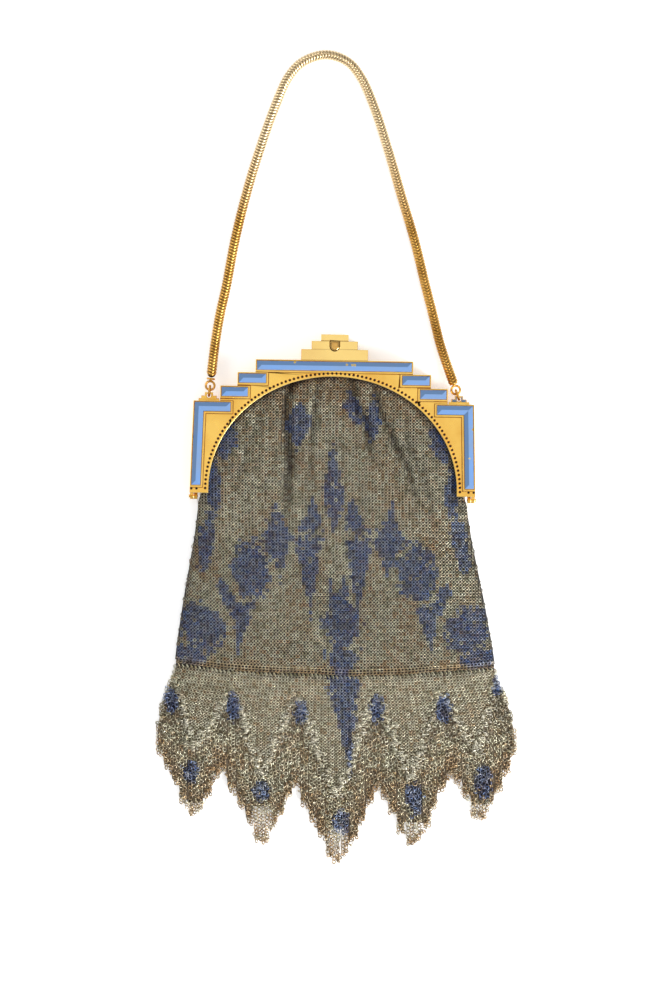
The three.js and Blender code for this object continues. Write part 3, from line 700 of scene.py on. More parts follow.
# Painted shade: the tucked neck is marked darkest, the wide rim not at all, the rest between.
for vert in ring:
    vert[tucked_shade_mark] = 1.0
for forward, radius in PROFILE:
    grown = bmesh.ops.extrude_edge_only(plate_work, edges=edges)["geom"]
    verts = [part for part in grown if isinstance(part, bmesh.types.BMVert)]
    edges = [part for part in grown if isinstance(part, bmesh.types.BMEdge)]
    widen = radius / last[1]
    bmesh.ops.scale(plate_work, verts=verts, vec=(widen, 1, widen))
    bmesh.ops.translate(plate_work, verts=verts, vec=(0, forward - last[0], 0))
    for vert in verts:
        vert[tucked_shade_mark] = 0.0 if 0.9 < forward and radius > 1.7 else 0.35
    last = (forward, radius)
for vert in plate_work.verts:
    sideways = abs(vert.co.x) / max(1e-6, math.hypot(vert.co.x, vert.co.z))
    vert.co.y += PLATE_POINT * (0.5 - sideways)
bmesh.ops.recalc_face_normals(plate_work, faces=plate_work.faces)


def shape_of(work, marks=()):
    """A small bmesh as arrays of its points, faces and marks, ready to be repeated"""
    work.verts.ensure_lookup_table()
    points = np.array([vert.co for vert in work.verts])
    faces = np.array([[vert.index for vert in face.verts] for face in work.faces])
    layers = {name: np.array([vert[work.verts.layers.float[name]] for vert in work.verts]) for name in marks}
    work.free()
    return points, faces, layers


def many(name, shape, centres, turns, marks):
    """One mesh made of a copy of the shape at each centre, turned, with a mark for each copy"""
    points, faces, layers = shape
    placed = np.einsum("nij,kj->nki", turns, points) + centres[:, None, :]
    placed = placed * MM + np.array(arch_centre)
    starts = np.arange(len(centres))[:, None, None] * len(points)
    corners = (faces[None] + starts).reshape(-1)
    mesh = bpy.data.meshes.new(name)
    mesh.vertices.add(len(centres) * len(points))
    mesh.vertices.foreach_set("co", placed.reshape(-1).astype(np.float32))
    mesh.loops.add(len(corners))
    mesh.loops.foreach_set("vertex_index", corners.astype(np.int32))
    mesh.polygons.add(len(corners) // faces.shape[1])
    mesh.polygons.foreach_set("loop_start", np.arange(0, len(corners), faces.shape[1], dtype=np.int32))
    mesh.update(calc_edges=True)
    mesh.polygons.foreach_set("use_smooth", np.ones(len(mesh.polygons), bool))
    spots = {label: np.repeat(values, len(points)) for label, values in marks.items()}
    spots.update({label: np.tile(values, len(centres)) for label, values in layers.items()})
    for label, values in spots.items():
        mesh.attributes.new(label, "FLOAT", "POINT").data.foreach_set("value", values.astype(np.float32))
    return mesh


def unit(vectors):
    """Each row of an array at a length of one"""
    return vectors / np.linalg.norm(vectors, axis=1, keepdims=True)


def turned_about(axis, angles):
    """Rotation matrices about x, y or z, one for each angle"""
    cosine, sine, still = np.cos(angles), np.sin(angles), np.zeros(len(angles))
    one = still + 1
    rows = {
        "x": [one, still, still, still, cosine, -sine, still, sine, cosine],
        "y": [cosine, still, sine, still, one, still, -sine, still, cosine],
        "z": [cosine, -sine, still, sine, cosine, still, still, still, one],
    }[axis]
    return np.stack(rows, axis=1).reshape(-1, 3, 3)


dice = np.random.default_rng(11)
forward = unit(ahead - behind)
sideways = unit(np.cross(forward, np.tile([0, 0, 1.0], (plate_count, 1))))
upward = np.cross(sideways, forward)
basis = np.stack([sideways, forward, upward], axis=2)
halfway = stations / along[-1]
untwisted = np.clip((halfway - ROLL_FROM) / ROLL_REACH, 0, 1)
roll = np.radians(90) * (1 - untwisted) + dice.normal(0, PLATE_WILD, plate_count)
# Painted highlight: the higher a plate lies on the handle, the paler it is painted.
top_highlight = HIGHLIGHT_SHARE * np.clip((middles[:, 1] - HIGHLIGHT_FROM) / HIGHLIGHT_REACH, 0, 1)
turns = basis @ turned_about("y", roll)
plates = many("chain_plates", shape_of(plate_work, ["tucked_shade"]), middles, turns, {"top_highlight": top_highlight})
keep("chain_plates", plates, chain_gilt, stands_for=["snake_chain"])

# Mesh bag. Small tinned brass rings, each through four others, are joined into one seamless bag,
# painted blue in a stencilled pattern, and stitched round the frame's arch, where they gather in folds.
CROWN = 46.5
FOOT_DROP = 1.7
BAG_LENGTH = 62
WAIST_HEIGHT = 7.4
SIDE_HEIGHT = 2.6
LIP_TOP = 8.4
LIP_UNDER = 1.0
PUFF = 0.8
LEAN = 0.031
FRONT_SINK = 0.3
FOLD_DEPTH = 2.1
FOLD_WANDER = (0.7, 5.5)
FOLD_RIPPLE = (0.3, 2.1)
PLEAT_DEPTH = 0.22
PLEAT_PACE = (1.25, 2.3)
PLEATED = (-46, 34)
BAG_CELLS = (90, 80)
BAG_DOWN = [0, 1.9, 2.4, 4.25, 17.98, 39.68, 53.94, 62]
BAG_HALF = [46.1, 46.3, 47.9, 48.5, 50.58, 54.71, 57.09, 58.2]
FOLDS = [
    # x, slant, width, depth, from, to
    (-0.62, 0.28, 0.04, 0.4, 0.55, -0.35),
    (-0.37, 0, 0.045, 1, 0.9, -0.55),
    (-0.14, 0.05, 0.035, 0.45, 0.95, -0.3),
    (0.11, -0.28, 0.04, 0.85, 0.95, 0.05),
    (0.33, -0.42, 0.035, 0.75, 0.75, -0.25),
    (0.6, -0.3, 0.045, 0.4, 0.5, -0.4),
]
BLUE_ON_BAG = [
    # form, x, y, half width, half height, slant, side: 0 for both
    ("oval", -38.0, 16.5, 2.9, 6.3, 4.3, 0),
    ("oval", -42.8, 0.0, 2.5, 9.4, -0.4, 0),
    ("lozenge", -12.4, 23.6, 5.0, 8.3, 1.4, -1),
    ("lozenge", 6.9, 29.6, 3.2, 7.9, -3.6, 1),
    ("lozenge", 14.2, 25.4, 3.4, 9.4, 0.7, 1),
    ("lozenge", 0.2, -0.4, 4.2, 16.2, -0.7, 1),
    ("up", -7.4, -8.1, 4.4, 7.2, 1.4, 0),
    ("lozenge", -20.3, -17.8, 5.2, 13.2, -1.8, 0),
    ("down", -8.8, -30.8, 5.0, 14.6, -0.7, 0),
    ("oval", -29.8, -29.0, 6.8, 10.6, 0, 0),
    ("oval", -45.7, -19.0, 2.9, 10.1, 2.9, 0),
    ("oval", -38.2, -39.6, 2.4, 6.0, -5.0, 0),
    ("down", -34.0, -49.6, 4.5, 8.6, 1.8, 0),
    ("oval", -47.7, -50.0, 8.1, 8.6, -4.3, 0),
    ("oval", -51.5, -60.0, 6.3, 3.2, -1.4, 0),
    ("lozenge", 2.4, -47.5, 7.6, 13.0, 0, 1),
    ("up", -1.0, -36.7, 1.8, 6.5, 0, 1),
    ("up", 4.0, -34.5, 1.8, 7.2, 0, 1),
    ("down", 2.4, -63.6, 7.0, 6.0, 0, 1),
]
FINE_PITCH = (1.2, 1.12)
COARSE_PITCH = (1.72, 1.06)
RING_LEAN = math.radians(9)
RING_SINK = 0.3
SHEET_SINK = 0.75
BLUE_COVER = 0.98
SHEET_WALL = 0.25
JOINED_FROM = 0.02
UNDER_PLATE = 0.9
WAIST_DROP = 0.8
WAIST_SAG = 3.4
SLOPE_STEP = 0.35
SLOPE_LIMIT = 2.5


def ramp(value, start, end):
    """Share from 0 at start to 1 at end, whichever way they lie"""
    share = np.clip((value - start) / (end - start), 0, 1)
    return share * share * (3 - 2 * share)


def lean_at(y):
    """How far the bag and the fringe have swung to the right at a height"""
    return LEAN * np.maximum(0, -y - FOOT_DROP)


def bag_half(y):
    """Half the width of the bag at a height"""
    return np.interp(-y, BAG_DOWN, BAG_HALF)


def waist_sag(x):
    """How far the waist hangs below its two ends"""
    return WAIST_SAG * (1 - (x / BAG_HALF[-1]) ** 2)


def above_waist(x, y):
    """How far a point lies above the sagging line of the waist"""
    return y + BAG_LENGTH + WAIST_DROP + waist_sag(x)


def arch_share(x, y):
    """1 at the frame's arch and less inside it"""
    return np.hypot(x / ARCH_X, np.maximum(0, y) / ARCH_Y)


def fold_drop(x, y):
    """How deep the folds lie below the bag's front at a point"""
    total = np.zeros(np.shape(x))
    for middle, slant, width, depth, start, end in FOLDS:
        top, bottom = start * CROWN, end * CROWN
        wander = FOLD_WANDER[0] * np.sin(y / FOLD_WANDER[1] + 9 * middle)
        wander = wander + FOLD_RIPPLE[0] * np.sin(y / FOLD_RIPPLE[1])
        off = x + wander - middle * ARCH_X - slant * (y - top)
        across = np.exp(-((off / (width * ARCH_X)) ** 2))
        reach = ramp(y, bottom, (top + bottom) / 2) * (1 - ramp(y, top, top + 0.12 * CROWN))
        total = total + depth * FOLD_DEPTH * across * reach
    return total


def small_gathers(x, y):
    """Fine pleats that start at the stitches and die out towards the waist"""
    run = x + 1.4 * np.sin(y / 13) + 0.02 * x * y / 10
    pleats = np.sin(run * PLEAT_PACE[0]) + 0.6 * np.sin(run * PLEAT_PACE[1] + 1)
    return PLEAT_DEPTH * pleats * ramp(y, *PLEATED)


def bag_front(x, y):
    """Height of the front of the bag, folds and pleats included"""
    share = np.minimum(1, np.abs(x - lean_at(y)) / bag_half(y))
    middle = LIP_TOP + PUFF
    level = middle + (WAIST_HEIGHT - middle) * ramp(y, 0, -BAG_LENGTH)
    edge = LIP_TOP + PUFF * (1 - ramp(arch_share(x, y), 0.8, 0.96))
    in_frame = 1 - ramp(y, -FOOT_DROP, -FOOT_DROP - 0.2 * BAG_LENGTH)
    side = SIDE_HEIGHT + (level - SIDE_HEIGHT) * np.sqrt(1 - share**6)
    pleats = small_gathers(x, y) * (1 - ramp(arch_share(x, y), 0.86, 0.97)) * (1 - share**8)
    return side + (np.minimum(level, edge) - side) * in_frame - fold_drop(x, y) - FRONT_SINK + pleats


def bag_back(x, y):
    """Height of the back of the bag, which lies on the table and over the back plate's edge"""
    near_edge = ramp(arch_share(x, y), 0.82, 0.93)
    return LIP_UNDER * near_edge * (1 - ramp(y, -FOOT_DROP - 0.2, -FOOT_DROP - 0.1 * BAG_LENGTH))


def painted(x, y, chart):
    """How blue the stencilled pattern is at a point, from 0 to 1"""
    straight = x - lean_at(y)
    cover = np.zeros(np.shape(x))
    for form, middle, level, half, tall, slant, side in chart:
        for mirror in (1, -1) if side == 0 else (1,):
            down = (y - level) / tall
            across = np.abs(mirror * straight - middle - 0.5 * slant * down) / half
            if form == "oval":
                far = np.hypot(across, down)
            elif form == "lozenge":
                far = across + np.abs(down)
            else:
                narrow = (1 + down) / 2 if form == "down" else (1 - down) / 2
                far = np.maximum(np.abs(down), across / np.maximum(0.06, narrow))
            cover = np.maximum(cover, 1 - ramp(far, 0.72, 1.28))
    return cover


def cloudy(x, y, size, seed):
    """Soft patches from about -1 to 1, some size across"""
    waves = np.random.default_rng(seed)
    total = np.zeros(np.shape(x))
    for _ in range(7):
        heading, phase = waves.uniform(0, math.tau, 2)
        stretch = waves.uniform(0.7, 1.6)
        run = x * np.cos(heading) + y * np.sin(heading)
        total = total + np.sin(run * math.tau * stretch / size + phase)
    return total / 3


def on_surface(height, x, y, side=1):
    """Matrices that stand a copy on a surface of that height function, facing out of it"""
    step = SLOPE_STEP
    slope_x = (height(x + step, y) - height(x - step, y)) / (2 * step)
    slope_y = (height(x, y + step) - height(x, y - step)) / (2 * step)
    slope_x, slope_y = (np.clip(slope, -SLOPE_LIMIT, SLOPE_LIMIT) for slope in (slope_x, slope_y))
    out = unit(np.stack([-slope_x, -slope_y, np.ones(len(x))], axis=1)) * side
    right = unit(np.cross(np.tile([0, 1.0, 0], (len(x), 1)), out))
    return np.stack([right, np.cross(out, right), out], axis=2)


def ring_shape(outer, wire_width, around):
    """One wire ring, flat about the upright"""
    work = bmesh.new()
    wire_ring(work, (outer - wire_width) / 2, wire_width / 2, around, 3, Matrix.Identity(4))
    bmesh.ops.recalc_face_normals(work, faces=work.faces)
    return shape_of(work)


ring_metal, tree, shader = new_finish("ring_metal", Metallic=0.88)
blue, brown, pale, tone, dim = (marked(tree, name) for name in ("blue", "brown", "pale", "tone", "dim"))
tinned = mixed(tree, tone, srgb(156, 152, 120), srgb(255, 251, 222))
dulled = mixed(tree, brown, tinned, srgb(206, 172, 128))
bright = mixed(tree, pale, dulled, srgb(240, 234, 214))
# The dim mark darkens the rings: on the bag it is painted shade in the folds, at the arch, sides and feet.
creased = mixed(tree, dim, bright, srgb(74, 58, 44))
painted_blue = mixed(tree, tone, srgb(16, 30, 74), srgb(72, 118, 190))
paint_left = spread(tree, patches(tree, 900, 0.3, 0.62), 1, 0.6)
paint_share = combined(tree, "MULTIPLY", blue, paint_left)
feed(
    tree,
    shader,
    Base_Color=mixed(tree, paint_share, creased, painted_blue),
    Metallic=spread(tree, paint_share, 0.9, 0.55),
    Roughness=spread(tree, patches(tree, 1200, 0.3, 0.7), 0.24, 0.42),
)

# Painted shade: a dark sheet under the rings shows in the gaps between them as the dark inside; on the skirts
# it is paler.
shade_sheet_finish, tree, shader = new_finish("shade_sheet", Metallic=0.3)
blue, brown, pale, dim = (marked(tree, name) for name in ("blue", "brown", "pale", "dim"))
shade_colour = mixed(tree, brown, srgb(52, 50, 44), srgb(48, 36, 28))
plain = mixed(tree, pale, mixed(tree, dim, shade_colour, srgb(30, 22, 18)), srgb(172, 152, 122))
weave = wire(tree, "TexVoronoi", {"Vector": own_place(tree), "Scale": 900}).outputs["Distance"]
dents = wire(tree, "Bump", {"Strength": 0.6, "Distance": 0.2 * MM, "Height": weave}).outputs["Normal"]
feed(
    tree,
    shader,
    Base_Color=mixed(tree, blue, plain, srgb(8, 14, 36)),
    Roughness=spread(tree, weave, 0.45, 0.75),
    Normal=dents,
)


def mark_points(mesh, skin, paling):
    """Writes the paint and the tarnish on a sheet's own points"""
    chart, browning, dimming = skin
    places = np.zeros(len(mesh.vertices) * 3, np.float32)
    mesh.vertices.foreach_get("co", places)
    places = (places.reshape(-1, 3) - np.array(arch_centre)) / MM
    x, y = places[:, 0], places[:, 1]
    marks = {
        "blue": BLUE_COVER * painted(x, y, chart),
        "brown": browning(x, y),
        "dim": dimming(x, y),
        "pale": paling(x, y),
    }
    for label, values in marks.items():
        mesh.attributes.new(label, "FLOAT", "POINT").data.foreach_set("value", values.astype(np.float32))


def bag_brown(x, y):
    """Tarnish: heavy under the arch and at the waist, patchy elsewhere"""
    top = ramp(y, 18, 38) * 0.35
    waist = 0.25 * ramp(above_waist(x, y), 6, 1)
    return np.clip(0.2 + 0.16 * cloudy(x, y, 26, 3) + top + waist, 0, 1)


def bag_shade(x, y):
    """Painted shade in the folds, close to the arch, along the sides and under the feet; darker rings at the
    waist and in soft patches
    """
    in_folds = np.clip(fold_drop(x, y) / FOLD_DEPTH, 0, 1) ** 1.2
    at_arch = ramp(arch_share(x, y), 0.94, 1.0) * ramp(y, -6, 0)
    at_sides = ramp(np.abs(x - lean_at(y)) / bag_half(y), 0.93, 1.0) * 0.55
    under_feet = ramp(np.abs(x), 40, 46) * ramp(y, -12, -3) * 0.5
    soft = np.clip(0.16 * cloudy(x * 1.6, y * 0.7, 22, 14) * ramp(y, -30, 20), 0, 1)
    at_waist = ramp(above_waist(x, y), 2, 0.5) * 0.45
    darkest = np.max([0.5 * in_folds, 0.8 * at_arch, at_sides, under_feet, at_waist], axis=0)
    return np.clip(darkest + soft, 0, 1)


def bag_pale(x, y):
    """The bag's sheet is dark all over, since no rings show behind it"""
    return np.zeros(len(x))


def walled(piece):
    """Gives a sheet its wall, inward from its face"""
    wall = piece.modifiers.new("wall", "SOLIDIFY")
    wall.thickness = SHEET_WALL * MM
    wall.offset = -1


def sheet_grid(columns, rows, place):
    """A grid moved onto a surface: place turns shares across and up into a point"""
    work = bmesh.new()
    bmesh.ops.create_grid(work, x_segments=columns, y_segments=rows, size=1)
    across = np.array([vert.co.x for vert in work.verts])
    up = np.array([vert.co.y for vert in work.verts])
    for vert, point in zip(work.verts, np.stack(place(across, (up + 1) / 2), axis=1)):
        vert.co = at_row(*point)
    return work


def bag_sheet_place(front):
    """The surface that carries the rings of the bag's front or back"""

    def place(across, up):
        x_top = across * (ARCH_X + 1.1)
        top = (ARCH_Y + 1.1) * np.sqrt(np.maximum(0, 1 - across**2))
        y = -BAG_LENGTH + up * (top + BAG_LENGTH)
        x = np.where(y > -FOOT_DROP, x_top, lean_at(y) + across * (bag_half(y) - 0.4))
        height = bag_front(x, y) - SHEET_SINK if front else bag_back(x, y) + SHEET_SINK
        return x, y, np.maximum(height, 0.5)

    return place


bag_skin = (BLUE_ON_BAG, bag_brown, bag_shade)
bag_work = sheet_grid(*BAG_CELLS, bag_sheet_place(True))
back_work = sheet_grid(*BAG_CELLS, bag_sheet_place(False))
back_mesh = as_mesh("bag_back_half", back_work)
bag_work.from_mesh(back_mesh)
bpy.data.meshes.remove(back_mesh)
bag_work.edges.ensure_lookup_table()
seam = []
for edge in bag_work.edges:
    middle = (edge.verts[0].co + edge.verts[1].co) / 2 - arch_centre
    if len(edge.link_faces) == 1 and middle.y / MM < -JOINED_FROM * BAG_LENGTH:
        seam.append(edge)
bmesh.ops.bridge_loops(bag_work, edges=seam)
bmesh.ops.recalc_face_normals(bag_work, faces=bag_work.faces)
# The bag's dark sheet is painted shade, seen through the gaps between the rings.
bag_mesh = as_mesh("bag_shade_sheet", bag_work, True)
mark_points(bag_mesh, bag_skin, bag_pale)
bag = keep("bag_shade_sheet", bag_mesh, shade_sheet_finish, stands_for=["mesh_pouch"])
walled(bag)

fine_ring = ring_shape(1.4, 0.3, 6)
open_ring = ring_shape(1.76, 0.38, 6)
seam_ring = ring_shape(1.7, 0.38, 6)
back_ring = ring_shape(1.75, 0.32, 5)


def every_pair(first, second):
    """Each of the first with each of the second, as two flat arrays"""
    return [values.reshape(-1) for values in np.meshgrid(first, second, indexing="ij")]


def bag_grid(pitch, staggered, front):
    """Centres of the rings in rows across one side of the bag, and the number of each one's row"""
    wide, tall = pitch
    half_count = int(max(BAG_HALF) / wide) + 1
    rows = np.arange(int((BAG_LENGTH + ARCH_Y + 1) / tall))
    row, column = every_pair(rows, np.arange(-half_count, half_count + 1))
    y = ARCH_Y + 0.3 - row * tall
    x = (column + (0.5 * (row % 2) if staggered else 0)) * wide + lean_at(y)
    sag = 0.5 * cloudy(x, y, 40, 8) * ramp(-y, -30, 10) * ramp(y, -61, -50)
    if front:
        sag = sag - (waist_sag(x) + WAIST_DROP) * ramp(y, -20, -BAG_LENGTH)
    inside = np.abs(x - lean_at(y)) < bag_half(y) - 0.5
    in_arch = np.hypot(x / (ARCH_X + UNDER_PLATE), y / (ARCH_Y + UNDER_PLATE)) < 1
    shown = inside & (in_arch | (y < -FOOT_DROP - 0.3))
    if front:
        shown = shown & (above_waist(x, y + sag) > SEAM_HALF)
    return x[shown], (y + sag)[shown], row[shown]


def ring_field(
    name, ring, points, row, height, face, skin, lean, axis="x", wild=0.1, pale=0.0, sink=RING_SINK
):
    """A sheet of linked rings on a surface, alternate rows leaning opposite ways"""
    (x, y), (chart, browning, dimming) = points, skin
    count = len(x)
    luck = np.random.default_rng(len(name) + count)
    tip = np.where(row % 2, lean, -lean) + luck.normal(0, wild, count)
    turns = on_surface(height, x, y, face) @ turned_about(axis, tip)
    turns = turns @ turned_about("y" if axis == "x" else "x", luck.normal(0, wild, count))
    turns = turns @ turned_about("z", luck.uniform(0, 1, count))
    covered = luck.uniform(0, 1, count) < BLUE_COVER * painted(x, y, chart)
    lowest = np.einsum("nj,kj->nk", turns[:, 2], ring[0]).min(axis=1)
    level = np.maximum(height(x, y) - face * sink, -lowest)
    marks = {
        "blue": np.where(covered, luck.uniform(0.75, 1, count), luck.uniform(0, 0.12, count)),
        "brown": np.clip(browning(x, y) + luck.normal(0, 0.3, count), 0, 1),
        "dim": np.clip(dimming(x, y) + luck.normal(0, 0.1, count), 0, 1),
        "pale": np.zeros(count) + pale,
        "tone": luck.uniform(0, 1, count) ** 0.6,
    }
    return many(name, ring, np.stack([x, y, level], axis=1), turns, marks)


FRONT_SPLIT = -14.0
SEAM_HALF = 1.7
x, y, row = bag_grid(FINE_PITCH, False, True)
for part, inside in (("upper", y > FRONT_SPLIT), ("lower", y <= FRONT_SPLIT)):
    name = "bag_front_rings_" + part
    points = (x[inside], y[inside])
    field = ring_field(name, fine_ring, points, row[inside], bag_front, 1, bag_skin, RING_LEAN)
    keep(name, field, ring_metal, stands_for=["mesh_pouch"])
x, y, row = bag_grid(COARSE_PITCH, True, False)
field = ring_field("bag_back_rings", back_ring, (x, y), row, bag_back, -1, bag_skin, RING_LEAN)
keep("bag_back_rings", field, ring_metal, stands_for=["mesh_pouch"])

# Waist seam. The bag's rows run across and the fringe's run down, so a band of slanting rings links
# them. It lies a little low, rubs less than the rest and has kept its brown tarnish.
SEAM_ROWS = [
    # height above the waist's line, pitch, turn in degrees, tilt in degrees, brown, dim
    (1.3, 1.25, 20, 24, 0.5, 0.1),
    (0.4, 1.25, 20, -30, 0.7, 0.3),
    (-0.9, 1.5, -58, 62, 0.1, 0.0),
]
SEAM_SINK = 0.35
seam_x, seam_y, seam_turn, seam_tilt, seam_brown, seam_dim = [], [], [], [], [], []
for level, pitch, turn, tilt, browned, dimmed in SEAM_ROWS:
    count = int(2 * (BAG_HALF[-1] - 0.6) / pitch)
    places = (np.arange(count) + 0.5) * pitch - count * pitch / 2
    seam_x.append(places + lean_at(-BAG_LENGTH))
    columns = (seam_y, seam_turn, seam_tilt, seam_brown, seam_dim)
    for values, value in zip(columns, (level, turn, tilt, browned, dimmed)):
        values.append(np.full(count, float(value)))
x, y = np.concatenate(seam_x), np.concatenate(seam_y)
y = y - BAG_LENGTH - WAIST_DROP - waist_sag(x) + 0.25 * cloudy(x, y, 30, 5)
luck = np.random.default_rng(5)
turns = on_surface(bag_front, x, y) @ turned_about("z", np.radians(np.concatenate(seam_turn)))
turns = turns @ turned_about("x", np.radians(np.concatenate(seam_tilt)) + luck.normal(0, 0.1, len(x)))
marks = {
    "blue": 0.8 * painted(x, y, BLUE_ON_BAG),
    "brown": np.clip(np.concatenate(seam_brown) + luck.normal(0, 0.2, len(x)), 0, 1),
    "dim": np.clip(np.concatenate(seam_dim) + luck.normal(0, 0.15, len(x)), 0, 1),
    "pale": np.zeros(len(x)),
    "tone": luck.uniform(0, 1, len(x)),
}
centres = np.stack([x, y, bag_front(x, y) - SEAM_SINK], axis=1)
seam_rings = many("waist_seam_rings", seam_ring, centres, turns, marks)
keep("waist_seam_rings", seam_rings, ring_metal, stands_for=["mesh_pouch"])

# Fringe. Below the waist hang a front and a back skirt of the same rings, cut into five smooth
# tongues with ruffled pale edges. Ring strands of stepped lengths hang from them in five points.
SKIRT_LENGTH = 73.3
SKIRT_HALF_WIDTH = 65.4
SKIRT_DOWN = [62, 62.6, 68.3, 72.3, 79.3, 86.7]
SKIRT_HALF = [58.0, 58.2, 59.4, 61.6, 63.9, 65.4]
HEM = 2.6
BACK_LEVEL = 0.06
SKIRT_FALL = 0.55
LOBES = [
    # middle in half widths, tip in lengths, free end of the strands
    (-0.787, 0.775, 5),
    (-0.414, 0.909, 14),
    (0, 1, 13),
    (0.414, 0.909, 9),
    (0.787, 0.775, 6),
]
LOBE_STEEPNESS = 2.05
LOBE_BLUNT = 1.5
STRAND_COUNT = 45
STRAND_PITCH = 2 * SKIRT_HALF_WIDTH / STRAND_COUNT
LINK_PITCH = 1.2
COLUMN_OFFSET = 0.68
FINE_COLUMNS = (1.14, 1.1)
COARSE_COLUMNS = (0.84, 2.1)
TONGUE_REACH = 52
STRAND_STAGGER = 0.55
STRAND_SWAY = 0.45
LINK_WILD = (0.09, 0.06)
STRAND_MARGIN = 0.5
TANGLED = 700
ENDS_LOOSE = 7
TANGLE_MARGIN = 0.8
RUFFLE_DENSITY = 3
RUFFLE_SPREAD = 0.95
RUFFLE_MARGIN = 0.6
SKIRT_CELLS = (180, 30)
FREE_HALF = 3
FREE_STEEPNESS = 4
SHEET_SHORT = 2.2
TONGUE_X = [-65.4, -58.1, -51.1, -37.3, -27.1, -14.4, 0, 14.4, 27.1, 37.3, 51.1, 58.1, 65.4]
TONGUE_Y = [-82, -68, -94.6, -71.6, -103.7, -73.4, -111.5, -73.4, -103.7, -71.6, -94.6, -68, -82]
BLUE_ON_FRINGE = [
    # form, x, y, half width, half height, slant, side: 0 for both
    ("down", 3.6, -81.0, 7.4, 20.5, -2.4, 1),
    ("oval", -59.3, -76.9, 2.6, 4.6, 0, 1),
    ("oval", -37.0, -78.7, 2.6, 5.2, 0, 1),
    ("oval", -12.5, -80.4, 2.4, 5.0, 0, 1),
    ("oval", 14.9, -78.6, 2.3, 5.2, 0, 1),
    ("oval", 39.0, -78.2, 2.8, 5.2, 0, 1),
    ("oval", 58.6, -69.5, 1.8, 4.6, 0, 1),
    ("oval", -52.8, -103.0, 3.0, 4.2, 0, 1),
    ("oval", -27.0, -109.0, 3.2, 3.8, 0, 1),
    ("oval", 1.3, -120.0, 3.0, 4.6, 0, 1),
    ("oval", 28.1, -111.0, 3.2, 6.0, 0, 1),
    ("oval", 53.0, -104.8, 3.2, 6.4, 0, 1),
]


def skirt_half(y):
    """Half the width of the skirt at a height"""
    return np.interp(-y, SKIRT_DOWN, SKIRT_HALF)


def tongue_edge(straight):
    """Lower edge of the smooth tongues"""
    return np.interp(straight, TONGUE_X, TONGUE_Y)


def strand_end(straight, index):
    """Lower end of the strands, as the points of the fringe run"""
    ends = [
        -BAG_LENGTH - tip * SKIRT_LENGTH
        + LOBE_STEEPNESS * np.maximum(0, np.abs(straight - middle * SKIRT_HALF_WIDTH) - LOBE_BLUNT)
        for middle, tip, _ in LOBES
    ]
    return np.min(ends, axis=0) + ((index * 7) % 3 - 1) * STRAND_STAGGER


def skirt_front(x, y):
    """Height of the front skirt, from the bag's waist down to the hem"""
    waist = np.maximum(HEM, bag_front(x, np.full(np.shape(x), -float(BAG_LENGTH))))
    fall = 1 - ramp(y, -BAG_LENGTH, -BAG_LENGTH - SKIRT_FALL * SKIRT_LENGTH)
    return HEM + (waist - HEM) * fall + 0.25 * np.sin(x / 4.1 + 0.5) * ramp(y, -66, -84)


def skirt_back(x, y):
    """Height of the back skirt, which lies flat on the table"""
    return np.full(np.shape(x), BACK_LEVEL)


def skirt_brown(x, y):
    """Tarnish: little on the tongues, more down the strands to their tips"""
    straight = x - lean_at(y)
    below = ramp(y, tongue_edge(straight) + 2, tongue_edge(straight) - 8)
    tips = ramp(y, strand_end(straight, 0) + 16, strand_end(straight, 0) + 4)
    return np.clip(0.08 + 0.1 * cloudy(x, y, 30, 9) + 0.12 * below + 0.5 * tips, 0, 1)


def skirt_dim(x, y):
    """Darkening: in the strands close under the tongues, just below the waist and towards the strands' tips,
    and none on the tongues
    """
    straight = x - lean_at(y)
    edge = tongue_edge(straight)
    strands = 0.12 * ramp(y, edge + 1, edge - 3) * (1 - ramp(y, edge - 8, edge - 24))
    valley = 0.4 * ramp(edge, -88, -76) * ramp(y, edge + 1, edge - 2) * (1 - ramp(y, edge - 8, edge - 16))
    tips = 0.2 * ramp(y, strand_end(straight, 0) + 14, strand_end(straight, 0) + 6)
    return np.max([strands, valley, 0.7 * ramp(above_waist(x, y), -2, -1), tips], axis=0)


def skirt_pale(x, y):
    """How light the rings behind show through the skirt, all over but at its seam"""
    return 0.3 * ramp(above_waist(x, y), -1, -2.5)


def sheet_end(straight):
    """Lower edge of a skirt's sheet: it follows the strands, and leaves the free ones at the tips"""
    index = np.clip(np.floor((straight + SKIRT_HALF_WIDTH) / STRAND_PITCH), 0, STRAND_COUNT - 1)
    middle = -SKIRT_HALF_WIDTH + (index + 0.5) * STRAND_PITCH
    free = [
        -BAG_LENGTH - tip * SKIRT_LENGTH + length
        - FREE_STEEPNESS * np.maximum(0, np.abs(straight - lobe * SKIRT_HALF_WIDTH) - FREE_HALF)
        for lobe, tip, length in LOBES
    ]
    return np.maximum(strand_end(middle, index) + SHEET_SHORT, np.max(free, axis=0))


def skirt_sheet_place(front):
    """The surface that carries the rings of the front or back skirt"""

    def place(across, up):
        end = sheet_end(across * (SKIRT_HALF_WIDTH - 1.2))
        y = end + up * (-BAG_LENGTH + 0.6 - end)
        x = across * (skirt_half(y) - 0.9) + lean_at(y)
        height = skirt_front(x, y) - SHEET_SINK if front else skirt_back(x, y) + SHEET_SINK
        return x, y, np.maximum(height, 0.4)

    return place


def in_skirt(x, y, margin, *more):
    """Those of the places that lie so far inside the skirt's sides, with what belongs to them"""
    inside = np.abs(x - lean_at(y)) < skirt_half(y) - margin
    return [values[inside] for values in (x, y, *more)]


